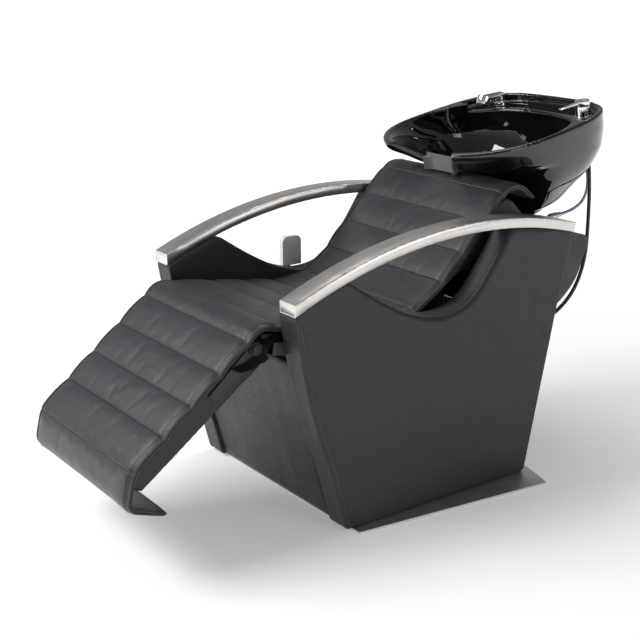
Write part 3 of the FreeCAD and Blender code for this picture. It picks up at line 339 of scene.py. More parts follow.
FINISHES = {
    "pad_leather": PAD_LEATHER,
    "panel_leather": SHADED_PANEL_LEATHER,
    "gloss_black": glossy("black_glaze", (0.0022, 0.0022, 0.0025), 0.02, 0.05, 0.6),
    "bar_metal": NICKEL,
    "plate_steel": PLATE,
    "frame_paint": powder_coat("frame_paint", (0.012, 0.012, 0.013), (0.028, 0.028, 0.030)),
    "zinc_steel": brushed("zinc_steel", (0.42, 0.43, 0.45), (0.60, 0.61, 0.63), (300.0, 300.0, 300.0)),
    "chrome": chrome("chrome"),
    "gel_grey": moulded("gel_grey", (0.095, 0.098, 0.097), (0.125, 0.129, 0.127), 0.34, 500.0, 0.00006),
    "grip_grey": moulded("grip_grey", (0.66, 0.67, 0.62), (0.76, 0.77, 0.72), 0.45),
    "dark_plastic": moulded("dark_plastic", (0.014, 0.014, 0.016), (0.030, 0.030, 0.033), 0.42),
    "waste_plastic": moulded("waste_plastic", (0.48, 0.48, 0.47), (0.60, 0.60, 0.59), 0.4),
    "hose_rubber": moulded("hose_rubber", (0.006, 0.006, 0.007), (0.014, 0.014, 0.015), 0.36),
    "braid_steel": braided("braid_steel"),
    "plywood": plywood("plywood"),
    "brass_valve": brushed("plated_brass", (0.50, 0.48, 0.45), (0.72, 0.70, 0.66), (200.0, 200.0, 200.0),
                           0.14, 0.26),
}


# ---------------------------------------------------------------- mesh helpers
def new_mesh(name, points, faces, material, smooth=True):
    mesh = bpy.data.meshes.new(name)
    mesh.from_pydata([tuple(p) for p in points], [], [tuple(f) for f in faces])
    mesh.validate()
    piece = bpy.data.objects.new(name, mesh)
    bpy.context.scene.collection.objects.link(piece)
    mesh.materials.append(material)
    if smooth:
        mesh.polygons.foreach_set("use_smooth", [True] * len(mesh.polygons))
    return piece


def loop_faces(rows, columns, first=0):
    """Quads of a tube whose rows are closed loops of points."""
    faces = []
    for r in range(rows - 1):
        for c in range(columns):
            d = (c + 1) % columns
            faces.append((first + r * columns + c, first + r * columns + d,
                          first + (r + 1) * columns + d, first + (r + 1) * columns + c))
    return faces


def apply_modifiers(piece):
    """Bakes the piece's modifiers into its own mesh."""
    depsgraph = bpy.context.evaluated_depsgraph_get()
    mesh = bpy.data.meshes.new_from_object(piece.evaluated_get(depsgraph))
    piece.modifiers.clear()
    old = piece.data
    piece.data = mesh
    bpy.data.meshes.remove(old)
    mesh.polygons.foreach_set("use_smooth", [True] * len(mesh.polygons))


def subdivide(piece, levels=1):
    modifier = piece.modifiers.new("subdivision", "SUBSURF")
    modifier.levels = levels
    modifier.render_levels = levels
    apply_modifiers(piece)


def merge(name, lumps, material):
    """One piece from several (points, faces) lumps."""
    points, faces = [], []
    for lump_points, lump_faces in lumps:
        first = len(points)
        points += [tuple(p) for p in lump_points]
        faces += [tuple(i + first for i in face) for face in lump_faces]
    return new_mesh(name, points, faces, material)


def swept_tube(path, radius, sides=10):
    """(points, faces) of a round tube along 3-D points, with rounded ends."""
    path = np.array(path, float)
    count = len(path)
    tangents = np.gradient(path, axis=0)
    tangents /= np.linalg.norm(tangents, axis=1)[:, None]
    side = np.cross(tangents[0], (0.31, 0.21, 0.93))
    points = []
    shrink = np.ones(count)
    shrink[0] = shrink[-1] = 0.45
    for i in range(count):
        side = side - tangents[i] * np.dot(side, tangents[i])
        side /= np.linalg.norm(side)
        up = np.cross(tangents[i], side)
        for k in range(sides):
            angle = 2 * math.pi * k / sides
            points.append(path[i] + radius * shrink[i] * (side * math.cos(angle) + up * math.sin(angle)))
    faces = loop_faces(count, sides)
    faces.append(tuple(range(sides))[::-1])
    faces.append(tuple(range((count - 1) * sides, count * sides)))
    return points, faces


def thread_lumps(path, normals, length=0.0045, gap=0.0022, radius=0.00055):
    """Separate stitches lying along 3-D points, each a short thread with sunk ends."""
    path, normals = np.array(path, float), np.array(normals, float)
    steps = np.linalg.norm(np.diff(path, axis=0), axis=1)
    along = np.concatenate([[0.0], np.cumsum(steps)])
    lumps = []
    start = gap
    while start + length < along[-1]:
        spots = np.linspace(start, start + length, 5)
        rise = np.array([-0.0006, 0.0003, 0.00055, 0.0003, -0.0006])
        line = [[np.interp(s, along, path[:, k]) + lift * np.interp(s, along, normals[:, k])
                 for k in range(3)] for s, lift in zip(spots, rise)]
        lumps.append(swept_tube(line, radius, 6))
        start += length + gap
    return lumps


# ---------------------------------------------------------------- the long quilted pad
def polar(centre, radius, angle):
    """(y, z) at an angle turned from straight down."""
    return (centre[0] + radius * math.sin(angle), centre[1] - radius * math.cos(angle))


def leg(s, n):
    """(y, z) on the leg rest: s along its slope from the hinge, n square to it."""
    c, k = math.cos(LEG_DROP), math.sin(LEG_DROP)
    return (HINGE[0] - s * c - n * k, HINGE[1] - s * k + n * c)


def arc_run(centre, radius, start, end, step=0.004):
    count = max(2, int(abs(end - start) * radius / step))
    return [polar(centre, radius, start + (end - start) * i / count) for i in range(count + 1)]


def corner_run(before, corner, after, radius, step=0.004):
    """Points of a round corner between two straight runs."""
    a, b = np.array(before) - corner, np.array(after) - corner
    a, b = a / np.linalg.norm(a), b / np.linalg.norm(b)
    turn = math.pi - math.acos(float(np.clip(a @ b, -1, 1)))
    back = radius * math.tan(turn / 2)
    middle = (a + b) / np.linalg.norm(a + b)
    centre = np.array(corner) + middle * radius / math.cos(turn / 2)
    start, end = np.array(corner) + a * back - centre, np.array(corner) + b * back - centre
    count = max(2, int(radius * turn / step))
    points = []
    for i in range(count + 1):
        t = i / count
        mix = math.sin((1 - t) * turn) * start + math.sin(t * turn) * end
        points.append(tuple(centre + mix / math.sin(turn)))
    return points


def pad_line():
    """The pad's top line in side view, from the tail behind the backrest to the tip under the toes."""
    dy, dz = NOSE_CENTRE[0] - BEND_CENTRE[0], NOSE_CENTRE[1] - BEND_CENTRE[1]
    back = math.asin((BEND_R + NOSE_R) / math.hypot(dy, dz)) + math.atan2(dz, dy)
    crown = polar(NOSE_CENTRE, NOSE_R, math.pi - NOSE_END)
    tail = (crown[0] + NOSE_TAIL * math.cos(NOSE_END), crown[1] - NOSE_TAIL * math.sin(NOSE_END))
    front = polar(BEND_CENTRE, BEND_R, -SEAT_SLOPE)
    slope = math.tan(SEAT_SLOPE)
    shin = leg(0.0, LEG_TOP)
    fall = math.tan(LEG_DROP)
    knee_y = (shin[1] - front[1] - shin[0] * fall - front[0] * slope) / (-fall - slope)
    knee = (knee_y, front[1] + (front[0] - knee_y) * slope)
    line = [tail]
    line += arc_run(NOSE_CENTRE, NOSE_R, math.pi - NOSE_END, math.pi + back)
    line += arc_run(BEND_CENTRE, BEND_R, back, -SEAT_SLOPE)
    line += corner_run(front, knee, leg(0.2, LEG_TOP), 0.075)
    line += corner_run(leg(0.2, LEG_TOP), leg(*KNUCKLE), leg(*TOE_CORNER), 0.045)
    line += corner_run(leg(*KNUCKLE), leg(*TOE_CORNER), leg(*TOE_TIP), 0.034)
    line.append(leg(*TOE_TIP))
    return np.array(line)


class Profile:
    """A side-view line that can be read at any distance along it."""

    def __init__(self, line):
        self.line = line
        self.along = np.concatenate([[0.0], np.cumsum(np.linalg.norm(np.diff(line, axis=0), axis=1))])
        self.length = self.along[-1]

    def at(self, s):
        return np.array([np.interp(s, self.along, self.line[:, k]) for k in range(2)])

    def normal(self, s):
        """Unit vector out of the pad's top."""
        a, b = self.at(max(s - 0.006, 0.0)), self.at(min(s + 0.006, self.length))
        d = (b - a) / np.linalg.norm(b - a)
        return np.array([-d[1], d[0]]) * -1.0

    def nearest(self, y, z):
        """Distance along the line of its nearest point to a place."""
        fine = np.linspace(0, self.length, 4000)
        spots = np.array([self.at(s) for s in fine])
        return float(fine[np.argmin(np.hypot(spots[:, 0] - y, spots[:, 1] - z))])


LINE = Profile(pad_line())
SEAMS = [LINE.nearest(*p) for p in (
    (0.230, 0.753), (0.161, 0.690), (0.103, 0.612), (0.034, 0.550),
    (-0.050, 0.497), (-0.152, 0.485), (-0.244, 0.496), (-0.342, 0.517), (-0.450, 0.530),
    (-0.540, 0.510), leg(0.106, LEG_TOP), leg(0.201, LEG_TOP), leg(0.291, LEG_TOP), leg(0.394, LEG_TOP))]
CHANNEL_EDGES = [0.0] + SEAMS + [LINE.length]


def channel_phase(s):
    """0 to 1 across the channel that s lies in; the pad's two ends are half channels."""
    for a, b in zip(CHANNEL_EDGES, CHANNEL_EDGES[1:]):
        if a <= s <= b:
            t = (s - a) / max(b - a, 1e-6)
            if a == 0.0:
                t = 0.5 + t / 2
            if b == LINE.length:
                t = t / 2
            return t
    return 0.0


def crown_at(s):
    """0 on a seam, 1 on the crest of a channel."""
    return (1.0 - abs(2 * channel_phase(s) - 1) ** 5) ** 0.5


def pad_stations():
    """Distances along the pad: even steps, with closer ones at each seam."""
    spots = []
    for a, b in zip(CHANNEL_EDGES, CHANNEL_EDGES[1:]):
        low, high = a + SEAM_CLEAR, b - SEAM_CLEAR
        count = max(2, round((high - low) / CHANNEL_STEP))
        spots += list(np.linspace(low, high, count + 1))
    for s in SEAMS:
        spots += [s - SEAM_HALF, s, s + SEAM_HALF]
    spots += [0.0, LINE.length]
    return sorted(spots)


def pad_thickness(s):
    """Full under the sitter, thin at the loose flap under the toes."""
    flap = (s - (LINE.length - 0.150)) / 0.145
    tail = (0.060 - s) / 0.060
    fade = min(max(flap, tail, 0.0), 1.0)
    fade = fade * fade * (3 - 2 * fade)
    return PAD_THICK * (1 - fade) + PAD_LIP * fade


def edge_drop(s):
    """How far the pad's edge dips: most at a seam, nothing half-way along a channel."""
    return EDGE_DIP * (1 - math.sin(math.pi * channel_phase(s)) ** 0.6)


def edge_share(s):
    """How much of the edge's depth is left where the pad thins towards its ends."""
    return min(pad_thickness(s) / PAD_THICK * 1.6, 1.0)


def pad_rise(s, x):
    """Height of the top face above the side-view line at a place."""
    crown = crown_at(s)
    edge = max(min((PAD_HALF - abs(x)) / 0.024, 1.0), 0.0)
    bulge = CROWN * (crown - 1.0) * edge - (0.0022 + edge_drop(s)) * (1 - edge) ** 1.5
    seam_gap = min(abs(s - q) for q in SEAMS)
    if seam_gap < 0.0006:
        bulge -= 0.0018
    wave = noise.noise(Vector((x * 9.0, s * 14.0, 3.7)))
    pucker = noise.noise(Vector((x * 55.0, s * 9.0, 8.1))) * math.exp(-seam_gap / 0.012)
    return bulge + 0.0011 * wave * crown + 0.0011 * pucker * crown


def build_pad():
    stations = pad_stations()
    columns = list(np.linspace(-TOP_HALF, TOP_HALF, 49))
    points, free = [], []
    for s in stations:
        base, out = LINE.at(s), LINE.normal(s)
        thick = pad_thickness(s)
        drop = edge_drop(s)
        flat = edge_share(s)
        loop = [(x, pad_rise(s, x), 1) for x in columns]
        loop += [(x, n * flat - drop, 0) for x, n in EDGE_LIP]
        loop += [(x, -max(0.0150 * flat + drop, thick * f), 0) for x, f in EDGE_UNDER]
        loop += [(x, -thick, 0) for x in (0.12, 0.04, -0.04, -0.12)]
        loop += [(-x, -max(0.0150 * flat + drop, thick * f), 0) for x, f in reversed(EDGE_UNDER)]
        loop += [(-x, n * flat - drop, 0) for x, n in reversed(EDGE_LIP)]
        on_seam = min(abs(s - q) for q in SEAMS) < 0.0014
        for x, n, top in loop:
            spot = base + out * n
            points.append((x, spot[0], spot[1]))
            free.append(top and not on_seam and 0.01 < s < LINE.length - 0.012)
    width = len(points) // len(stations)
    faces = loop_faces(len(stations), width)
    faces.append(tuple(range(width)))
    last = (len(stations) - 1) * width
    faces.append(tuple(range(last, last + width))[::-1])
    pad = new_mesh("quilted_pad", points, [f[::-1] for f in faces], PAD_LEATHER)
    inflate(pad, free)
    subdivide(pad)
    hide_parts("seat_back_pad", "leg_pad")
    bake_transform(pad)


def inflate(piece, free):
    """Lets the free points of a closed cover swell under a little pressure, held along its seams."""
    rest = np.array([v.co for v in piece.data.vertices], float)
    pins = piece.vertex_groups.new(name="pins")
    pins.add([i for i, loose in enumerate(free) if not loose], 1.0, "REPLACE")
    modifier = piece.modifiers.new("cloth", "CLOTH")
    settings = modifier.settings
    settings.quality = 4
    settings.mass = 0.25
    settings.tension_stiffness = 20.0
    settings.compression_stiffness = 20.0
    settings.shear_stiffness = 8.0
    settings.bending_stiffness = 1.2
    settings.vertex_group_mass = "pins"
    settings.shrink_min = -PUFF_SLACK
    settings.use_pressure = True
    settings.uniform_pressure_force = PUFF_PRESSURE
    settings.effector_weights.gravity = 0.0
    modifier.collision_settings.use_collision = False
    modifier.point_cache.frame_start = 1
    modifier.point_cache.frame_end = CLOTH_FRAMES
    for step in range(1, CLOTH_FRAMES + 1):
        bpy.context.scene.frame_set(step)
    apply_modifiers(piece)
    moved = np.array([v.co for v in piece.data.vertices], float)
    shift = moved - rest
    size = np.linalg.norm(shift, axis=1)
    shift *= (np.minimum(size, PUFF_CAP) / np.maximum(size, 1e-9))[:, None]
    piece.data.vertices.foreach_set("co", (rest + shift).astype(np.float32).ravel())
    piece.data.update()
    bpy.context.scene.frame_set(1)


def build_pad_trim():
    """Piping on the pad's edges and the stitches of its seams."""
    piping, threads = [], []
    spots = np.linspace(0.004, LINE.length - 0.004, 330)
    for sign in (-1, 1):
        for x, n, radius in EDGE_PIPING:
            line = []
            for s in spots:
                spot = LINE.at(s) + LINE.normal(s) * (n * edge_share(s) - edge_drop(s))
                line.append((sign * x, spot[0], spot[1]))
            piping.append(swept_tube(line, radius, 8))
    for s in (0.003, LINE.length - 0.003):
        spot = LINE.at(s) - LINE.normal(s) * 0.005
        across = [(x, spot[0], spot[1]) for x in np.linspace(-0.235, 0.235, 40)]
        piping.append(swept_tube(across, 0.0021, 8))
    for s in SEAMS:
        out = LINE.normal(s)
        line, normals = [], []
        for x in np.linspace(-0.231, 0.231, 90):
            spot = LINE.at(s) + out * (pad_rise(s, x) + 0.0004)
            line.append((x, spot[0], spot[1]))
            normals.append((0.0, out[0], out[1]))
        threads += thread_lumps(line, normals)
    for sign in (-1, 1):
        line, normals = [], []
        for s in spots:
            out = LINE.normal(s)
            spot = LINE.at(s) + out * (pad_rise(s, EDGE_STITCH) + 0.0003)
            line.append((sign * EDGE_STITCH, spot[0], spot[1]))
            normals.append((0.0, out[0], out[1]))
        threads += thread_lumps(line, normals)
    for name, lumps, material in (("pad_piping", piping, PIPING), ("pad_stitches", threads, THREAD)):
        piece = merge(name, lumps, material)
        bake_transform(piece)


# ---------------------------------------------------------------- side panels
def bar_point(y):
    """(y, z) on the armrest's arc, which the panel's top edge follows."""
    return (y, BAR_CENTRE[1] + math.sqrt(BAR_RADIUS ** 2 - (y - BAR_CENTRE[0]) ** 2))


def smooth_curve(points, count):
    """Points on a smooth curve through a few given ones."""
    points = np.array(points, float)
    along = np.concatenate([[0.0], np.cumsum(np.linalg.norm(np.diff(points, axis=0), axis=1))])
    tangents = np.gradient(points, along, axis=0)
    out = []
    for t in np.linspace(0, along[-1], count):
        i = min(int(np.searchsorted(along, t, "right")) - 1, len(points) - 2)
        h = along[i + 1] - along[i]
        k = (t - along[i]) / h
        a = (1 + 2 * k) * (1 - k) ** 2
        b = k * (1 - k) ** 2
        c = k * k * (3 - 2 * k)
        d = k * k * (k - 1)
        out.append(a * points[i] + b * h * tangents[i] + c * points[i + 1] + d * h * tangents[i + 1])
    return out


def panel_outline(step=0.006):
    """Closed outline of a side panel in (y, z), anticlockwise from the foot seen from +X."""
    foot, heel, back = (-0.310, 0.006), (0.284, 0.006), (0.374, 0.440)
    crest, tail = bar_point(-0.455), bar_point(0.420)
    scoop_start, scoop_end = bar_point(-0.306), bar_point(0.203)
    line = [foot, heel, back, tail]
    line += [bar_point(y) for y in np.linspace(0.420, 0.203, 20)[1:]]
    line += [tuple(p) for p in smooth_curve([scoop_end, (0.141, 0.588), (0.062, 0.505), (-0.020, 0.487),
                                             (-0.118, 0.510), (-0.201, 0.553), scoop_start], 60)[1:]]
    line += [bar_point(y) for y in np.linspace(-0.306, -0.455, 14)[1:]]
    line += [tuple(p) for p in smooth_curve([crest, (-0.415, 0.355), (-0.332, 0.092), foot], 40)[1:-1]]
    line = np.array(line + [line[0]])
    along = np.concatenate([[0.0], np.cumsum(np.linalg.norm(np.diff(line, axis=0), axis=1))])
    spots = np.linspace(0, along[-1], int(along[-1] / step), endpoint=False)
    return np.stack([np.interp(spots, along, line[:, k]) for k in range(2)], 1)


def rounded_loop(loop, passes):
    """The closed outline with its corners eased, a little more each pass."""
    for _ in range(passes):
        loop = (np.roll(loop, 1, 0) + 2 * loop + np.roll(loop, -1, 0)) / 4
    return loop


def inset_loop(loop, distance):
    """The closed outline moved inwards."""
    ahead, behind = np.roll(loop, -1, 0), np.roll(loop, 1, 0)
    d = ahead - behind
    d /= np.linalg.norm(d, axis=1)[:, None]
    return loop + np.stack([-d[:, 1], d[:, 0]], 1) * distance


def panel_wrinkle(y, z):
    """Slack of the cover over the panel's face: slow swells, and short folds by the front corner."""
    slow = noise.noise(Vector((y * 5.0, z * 5.0, 1.3))) * 0.0013
    folds = noise.noise(Vector((y * 26.0, z * 12.0, 5.2))) * 0.0007
    near = math.exp(-math.hypot(y + 0.40, z - 0.48) / 0.10) + 0.4 * math.exp(-abs(z - 0.50) / 0.05)
    return slow + folds * near


def edge_radius(y, z):
    """Roundness of the panel's outer edge: soft along the top, tighter down the front and rear."""
    high = min(max((z - 0.44) / 0.06, 0.0), 1.0)
    soft = high * min(max((y + 0.33) / 0.04, 0.0), max((0.36 - y) / 0.06, 0.0), 1.0)
    return 0.0055 + 0.0085 * soft * soft * (3 - 2 * soft)


def build_panel(side):
    """One upholstered side panel, side +1 left or -1 right."""
    loop = rounded_loop(panel_outline(), 3)
    width = len(loop)
    rows = []
    round_edge = np.array([edge_radius(y, z) for y, z in loop])
    inner_face = [(0.0022, -PANEL_WRAP), (0.0006, -0.0008), (0.0, 0.0010)]
    wall = PANEL_OUTER - PANEL_INNER
    for shrink in (0.02, 0.2, 0.45, 0.7, 0.88, 0.97):
        inner = inset_loop(loop, 0.004)
        rows.append((PANEL_CENTRE + (inner - PANEL_CENTRE) * shrink, -PANEL_WRAP, 0))
    rows += [(inset_loop(loop, inset), depth, 0) for inset, depth in inner_face]
    rows += [(loop, depth, 1) for depth in np.linspace(0.010, wall - PANEL_EDGE - 0.004, 6)]
    for k in range(7):
        angle = math.pi / 2 * k / 6
        curl = round_edge * (1 - math.cos(angle))
        rows.append((inset_loop(loop, curl[:, None]), wall - round_edge * (1 - math.sin(angle)), 2))
    flat = inset_loop(loop, round_edge[:, None])
    for shrink in np.linspace(0.975, 0.02, 40):
        flat = rounded_loop(flat, 6)
        rows.append((PANEL_CENTRE + (flat - PANEL_CENTRE) * shrink, wall, 3))
    points = []
    for outline, depths, kind in rows:
        for (y, z), depth in zip(outline, np.broadcast_to(depths, width)):
            swell = 0.0
            if kind == 3:
                swell = panel_wrinkle(y, z) - PANEL_DIMPLE
            if kind == 2:
                swell = panel_wrinkle(y, z) * 0.5 - PANEL_DIMPLE
            across = PANEL_INNER + depth + swell
            if kind == 1:
                pull = 0.0012 * noise.noise(Vector((depth * 40.0, y * 14.0, z * 14.0)))
                slope = np.array((y, z)) - PANEL_CENTRE
                slope /= np.linalg.norm(slope)
                y, z = y + slope[0] * (pull - 0.0008), max(z + slope[1] * (pull - 0.0008), 0.0062)
            points.append((side * across, y, z))
    faces = loop_faces(len(rows), width)
    faces.append(tuple(range(width))[::-1])
    last = (len(rows) - 1) * width
    faces.append(tuple(range(last, last + width)))
    if side < 0:
        faces = [f[::-1] for f in faces]
    name = "left" if side > 0 else "right"
    # The panel takes the darkened leather, painted shade on the side away from the key
    panel = new_mesh("panel_upholstery_" + name, points, faces, SHADED_PANEL_LEATHER)
    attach(panel, "unit")
    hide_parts("panel_cover_" + name)

    # Welts along the outer edge of the front strip, and a line of stitches beside them
    front = [i for i in range(width) if loop[i][0] < -0.285 and loop[i][1] < 0.545]
    front.sort(key=lambda i: loop[i][1])
    lumps = []
    for inset, below, radius in FRONT_WELTS:
        edge_line = inset_loop(loop, inset)
        line = [(side * (PANEL_INNER + wall - below), edge_line[i][0], edge_line[i][1]) for i in front]
        lumps.append(swept_tube(line, radius, 8))
    welt = merge("panel_welt_" + name, lumps, PIPING)
    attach(welt, "unit")
    seam = inset_loop(loop, FRONT_SEAM)
    line = [(side * (PANEL_OUTER - 0.0009), seam[i][0], seam[i][1]) for i in front]
    stitches = merge("panel_stitches_" + name, thread_lumps(line, [(side, 0, 0)] * len(line)), THREAD)
    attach(stitches, "unit")


# ---------------------------------------------------------------- apron, wrapped boards, knee
def build_wrapped(name, node):
    """A board wrapped in slightly slack leather."""
    voxel = 0.004
    # The boards take the darkened panel leather, painted shade under the pads' overhang
    piece = remeshed(name, node, voxel, 4, SHADED_PANEL_LEATHER)
    normals = [vertex.normal.copy() for vertex in piece.data.vertices]
    for vertex, normal in zip(piece.data.vertices, normals):
        x, y, z = vertex.co
        slack = noise.noise(Vector((x * 11.0, y * 16.0, z * 16.0))) * 0.0010
        slack += noise.noise(Vector((x * 40.0, y * 40.0, z * 40.0))) * 0.0003
        vertex.co += normal * slack
    body = next(b for b, nodes in frame["record"]["behaviour"]["bodies"].items() if node in nodes)
    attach(piece, body)
    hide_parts(node)


def build_apron():
    """Padded cover stretched over the leaning board between the panels, slotted for the spring rod."""
    low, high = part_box("apron_cover")
    foot, top = np.array(APRON_FOOT), np.array(APRON_TOP)
    run = math.hypot(top[0] - foot[0], top[1] - foot[1])
    up = np.array([(top[0] - foot[0]) / run, (top[1] - foot[1]) / run])
    out = np.array([-up[1], up[0]])
    xs = list(np.linspace(low.x + 0.0005, high.x - 0.0005, 97))
    ts = list(np.linspace(0.0, run, 81))

    def face(x, t):
        """How far the cover stands out: tucked in along its borders, slack between them."""
        side = min((high.x - abs(x)) / 0.020, 1.0)
        end = min(t / 0.014, (run - t) / 0.014, 1.0)
        tuck = math.sqrt(max(min(side, 1.0), 0.0)) * math.sqrt(max(end, 0.0))
        swell = noise.noise(Vector((x * 5.0, t * 6.5, 2.0))) * 0.0022
        crease = noise.noise(Vector((x * 22.0, t * 5.0, 6.0))) * 0.0005
        return (-0.0035 * (1 - tuck) + (swell + crease) * tuck) + 0.0014 * tuck

    points, faces = [], []
    for t in ts:
        for x in xs:
            spot = foot + up * t + out * face(x, t)
            points.append((x, spot[0], spot[1]))
    front = len(points)
    for t in ts:
        for x in xs:
            spot = foot + up * t - out * APRON_THICK
            points.append((x, spot[0], spot[1]))
    wide, tall = len(xs), len(ts)

    def open_cell(i, j):
        middle = (xs[i] + xs[i + 1]) / 2
        return abs(middle) < APRON_SLOT_HALF and ts[j] > run * APRON_SLOT_FROM

    for j in range(tall - 1):
        for i in range(wide - 1):
            if open_cell(i, j):
                continue
            a = j * wide + i
            faces.append((a, a + wide, a + wide + 1, a + 1))
            b = front + a
            faces.append((b, b + 1, b + wide + 1, b + wide))
            for di, dj, p, q in ((0, -1, a, a + 1), (0, 1, a + wide + 1, a + wide),
                                 (-1, 0, a + wide, a), (1, 0, a + 1, a + wide + 1)):
                n, m = i + di, j + dj
                if n < 0 or m < 0 or n >= wide - 1 or m >= tall - 1 or open_cell(n, m):
                    faces.append((p, q, q + front, p + front))
    # The cover takes the darkened apron leather, painted shade under the leg rest
    apron = new_mesh("apron_upholstery", points, faces, SHADED_APRON_LEATHER)
    outward = bmesh.new()
    outward.from_mesh(apron.data)
    bmesh.ops.delete(outward, geom=[v for v in outward.verts if not v.link_faces], context="VERTS")
    bmesh.ops.recalc_face_normals(outward, faces=outward.faces)
    outward.to_mesh(apron.data)
    outward.free()
    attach(apron, "unit")
    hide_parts("apron_cover")


def build_knee():
    """Leather gusset that closes the gap under the pad at the knee, seen beside the leg rest; its near-black
    colour is painted shade in that gap.
    """
    rows, columns = 36, 61
    start, end = LINE.nearest(-0.448, 0.530), LINE.nearest(*leg(0.075, LEG_TOP))
    points = []
    for r in range(rows):
        t = r / (rows - 1)
        s = start + (end - start) * t
        base, out = LINE.at(s), LINE.normal(s)
        sag = 0.012 * math.sin(math.pi * t) ** 0.8
        for c in range(columns):
            x = -0.2365 + 0.473 * c / (columns - 1)
            hang = 0.034 * max((abs(x) - 0.200) / 0.0365, 0.0) ** 0.6 * math.sin(math.pi * t) ** 0.5
            fold = 0.0050 * noise.noise(Vector((x * 8.0, t * 7.0, 1.7)))
            fold += 0.0024 * noise.noise(Vector((x * 30.0, t * 16.0, 4.1)))
            spot = base - out * (PAD_THICK + 0.0045 + sag + hang + fold * math.sin(math.pi * t))
            points.append((x, spot[0], spot[1]))
    faces = [(r * columns + c, r * columns + c + 1, (r + 1) * columns + c + 1, (r + 1) * columns + c)
             for r in range(rows - 1) for c in range(columns - 1)]
    gusset = new_mesh("knee_gusset", points, faces, SHADE_LINING)
    shell = gusset.modifiers.new("thickness", "SOLIDIFY")
    shell.thickness = 0.0016
    subdivide(gusset)
    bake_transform(gusset)


# ---------------------------------------------------------------- basin and neck rest
def remeshed(name, node, voxel, passes, material):
    """A smooth copy of a CAD node with softened edges."""
    source = NODES[node]
    mesh = source.data.copy()
    mesh.name = name
    piece = bpy.data.objects.new(name, mesh)
    bpy.context.scene.collection.objects.link(piece)
    weld = piece.modifiers.new("weld", "WELD")
    weld.merge_threshold = 0.00002
    remesh = piece.modifiers.new("remesh", "REMESH")
    remesh.mode = "VOXEL"
    remesh.voxel_size = voxel
    smooth = piece.modifiers.new("smooth", "SMOOTH")
    smooth.factor = 0.5
    smooth.iterations = passes
    apply_modifiers(piece)
    piece.data.materials.clear()
    piece.data.materials.append(material)
    return piece


def build_basin():
    voxel, passes = ((0.0028, 16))
    bowl = remeshed("basin_bowl", "basin", voxel, passes, FINISHES["gloss_black"])
    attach(bowl, "basin_unit")
    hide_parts("basin")
    cuff = remeshed("neck_cuff", "neck_rest", 0.0015, 14, FINISHES["gel_grey"])
    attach(cuff, "basin_unit")
    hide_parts("neck_rest")


# ---------------------------------------------------------------- cords
def rim(u, w, x):
    """(x, y, z) in the tilted basin's own directions: u back from the lip, w square to the rim."""
    c, s = math.cos(BASIN_TILT), math.sin(BASIN_TILT)
    return (x, BASIN_LIP[0] + u * c - w * s, BASIN_LIP[1] + u * s + w * c)


def hose(name, route, radius, material):
    """A smooth round cord whose spline has the route as its control points."""
    curve = bpy.data.curves.new(name, "CURVE")
    curve.dimensions = "3D"
    curve.resolution_u = 16
    curve.bevel_depth = radius
    curve.bevel_resolution = 5
    spline = curve.splines.new("NURBS")
    spline.points.add(len(route) - 1)
    for point, place in zip(spline.points, route):
        point.co = (*place, 1.0)
    spline.order_u = 3
    spline.use_endpoint_u = True
    curve.materials.append(material)
    piece = bpy.data.objects.new(name, curve)
    bpy.context.scene.collection.objects.link(piece)
    return piece


def build_cords():
    black = [rim(FITTING_U, DECK_LEVEL - 0.066, FITTING_X + 0.010),
             rim(FITTING_U, DECK_LEVEL - 0.164, FITTING_X + 0.010),
             (0.169, 0.638, 0.604), (0.170, 0.634, 0.498), (0.170, 0.588, 0.402),
             (0.170, 0.482, 0.345), (0.170, 0.366, 0.338)]
    tail = [(0.130, 0.566, 0.634), (0.130, 0.616, 0.638), (0.144, 0.650, 0.672), (0.151, 0.648, 0.736),
            rim(FITTING_U, DECK_LEVEL - 0.116, FITTING_X - 0.010),
            rim(FITTING_U, DECK_LEVEL - 0.066, FITTING_X - 0.010)]
    build_cord("black_feed_hose", "black_hose", black[::-1], BLACK_R, "hose_rubber")
    build_cord("braided_feed_tail", "braided_tail", tail, TAIL_R, "braid_steel")


def build_cord(name, node, route, radius, slot):
    """One cord as a round tube along the route, from its first point to its last."""
    piece = hose(name, route, radius, FINISHES[slot])
    path = curve_points(piece)
    piece = to_mesh(piece)
    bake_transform(piece)
    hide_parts(node)


def curve_points(piece):
    """The centre line of a curve object, read from its own spline."""
    curve = piece.data.copy()
    curve.bevel_depth = 0.0
    probe = bpy.data.objects.new("probe", curve)
    bpy.context.scene.collection.objects.link(probe)
    bpy.context.view_layer.update()
    line = bpy.data.meshes.new_from_object(probe.evaluated_get(bpy.context.evaluated_depsgraph_get()))
    points = [tuple(v.co) for v in line.vertices]
    bpy.data.objects.remove(probe)
    bpy.data.meshes.remove(line)
    return points


def to_mesh(piece):
    """Turns a curve object into a mesh object of the same name."""
    bpy.context.view_layer.update()
    mesh = bpy.data.meshes.new_from_object(piece.evaluated_get(bpy.context.evaluated_depsgraph_get()))
    name = piece.name
    bpy.data.objects.remove(piece)
    mesh.polygons.foreach_set("use_smooth", [True] * len(mesh.polygons))
    solid = bpy.data.objects.new(name, mesh)
    bpy.context.scene.collection.objects.link(solid)
    return solid


# ---------------------------------------------------------------- carried-over CAD nodes
def dress_nodes():
    """Finishes and softened edges for the CAD nodes that stay."""
    slots = {part["node"]: part["material_slot"] for part in frame["record"]["subparts"]}
    # The panel cores take the same darkened leather, painted shade
    special = {"panel_cores": SHADED_PANEL_LEATHER, "leg_shaft": FINISHES["frame_paint"]}
    for name, node in NODES.items():
        material = special.get(name, FINISHES[slots[name]])
        node.data.materials.clear()
        node.data.materials.append(material)
        if node.hide_render:
            continue
        weld = node.modifiers.new("weld", "WELD")
        weld.merge_threshold = 0.00002
        bevel = node.modifiers.new("bevel", "BEVEL")
        bevel.width = 0.0022 if name in ("seat_board", "back_board") else 0.0008
        bevel.segments = 3
        bevel.limit_method = "ANGLE"
        bevel.angle_limit = math.radians(40)
        node.data.polygons.foreach_set("use_smooth", [True] * len(node.data.polygons))


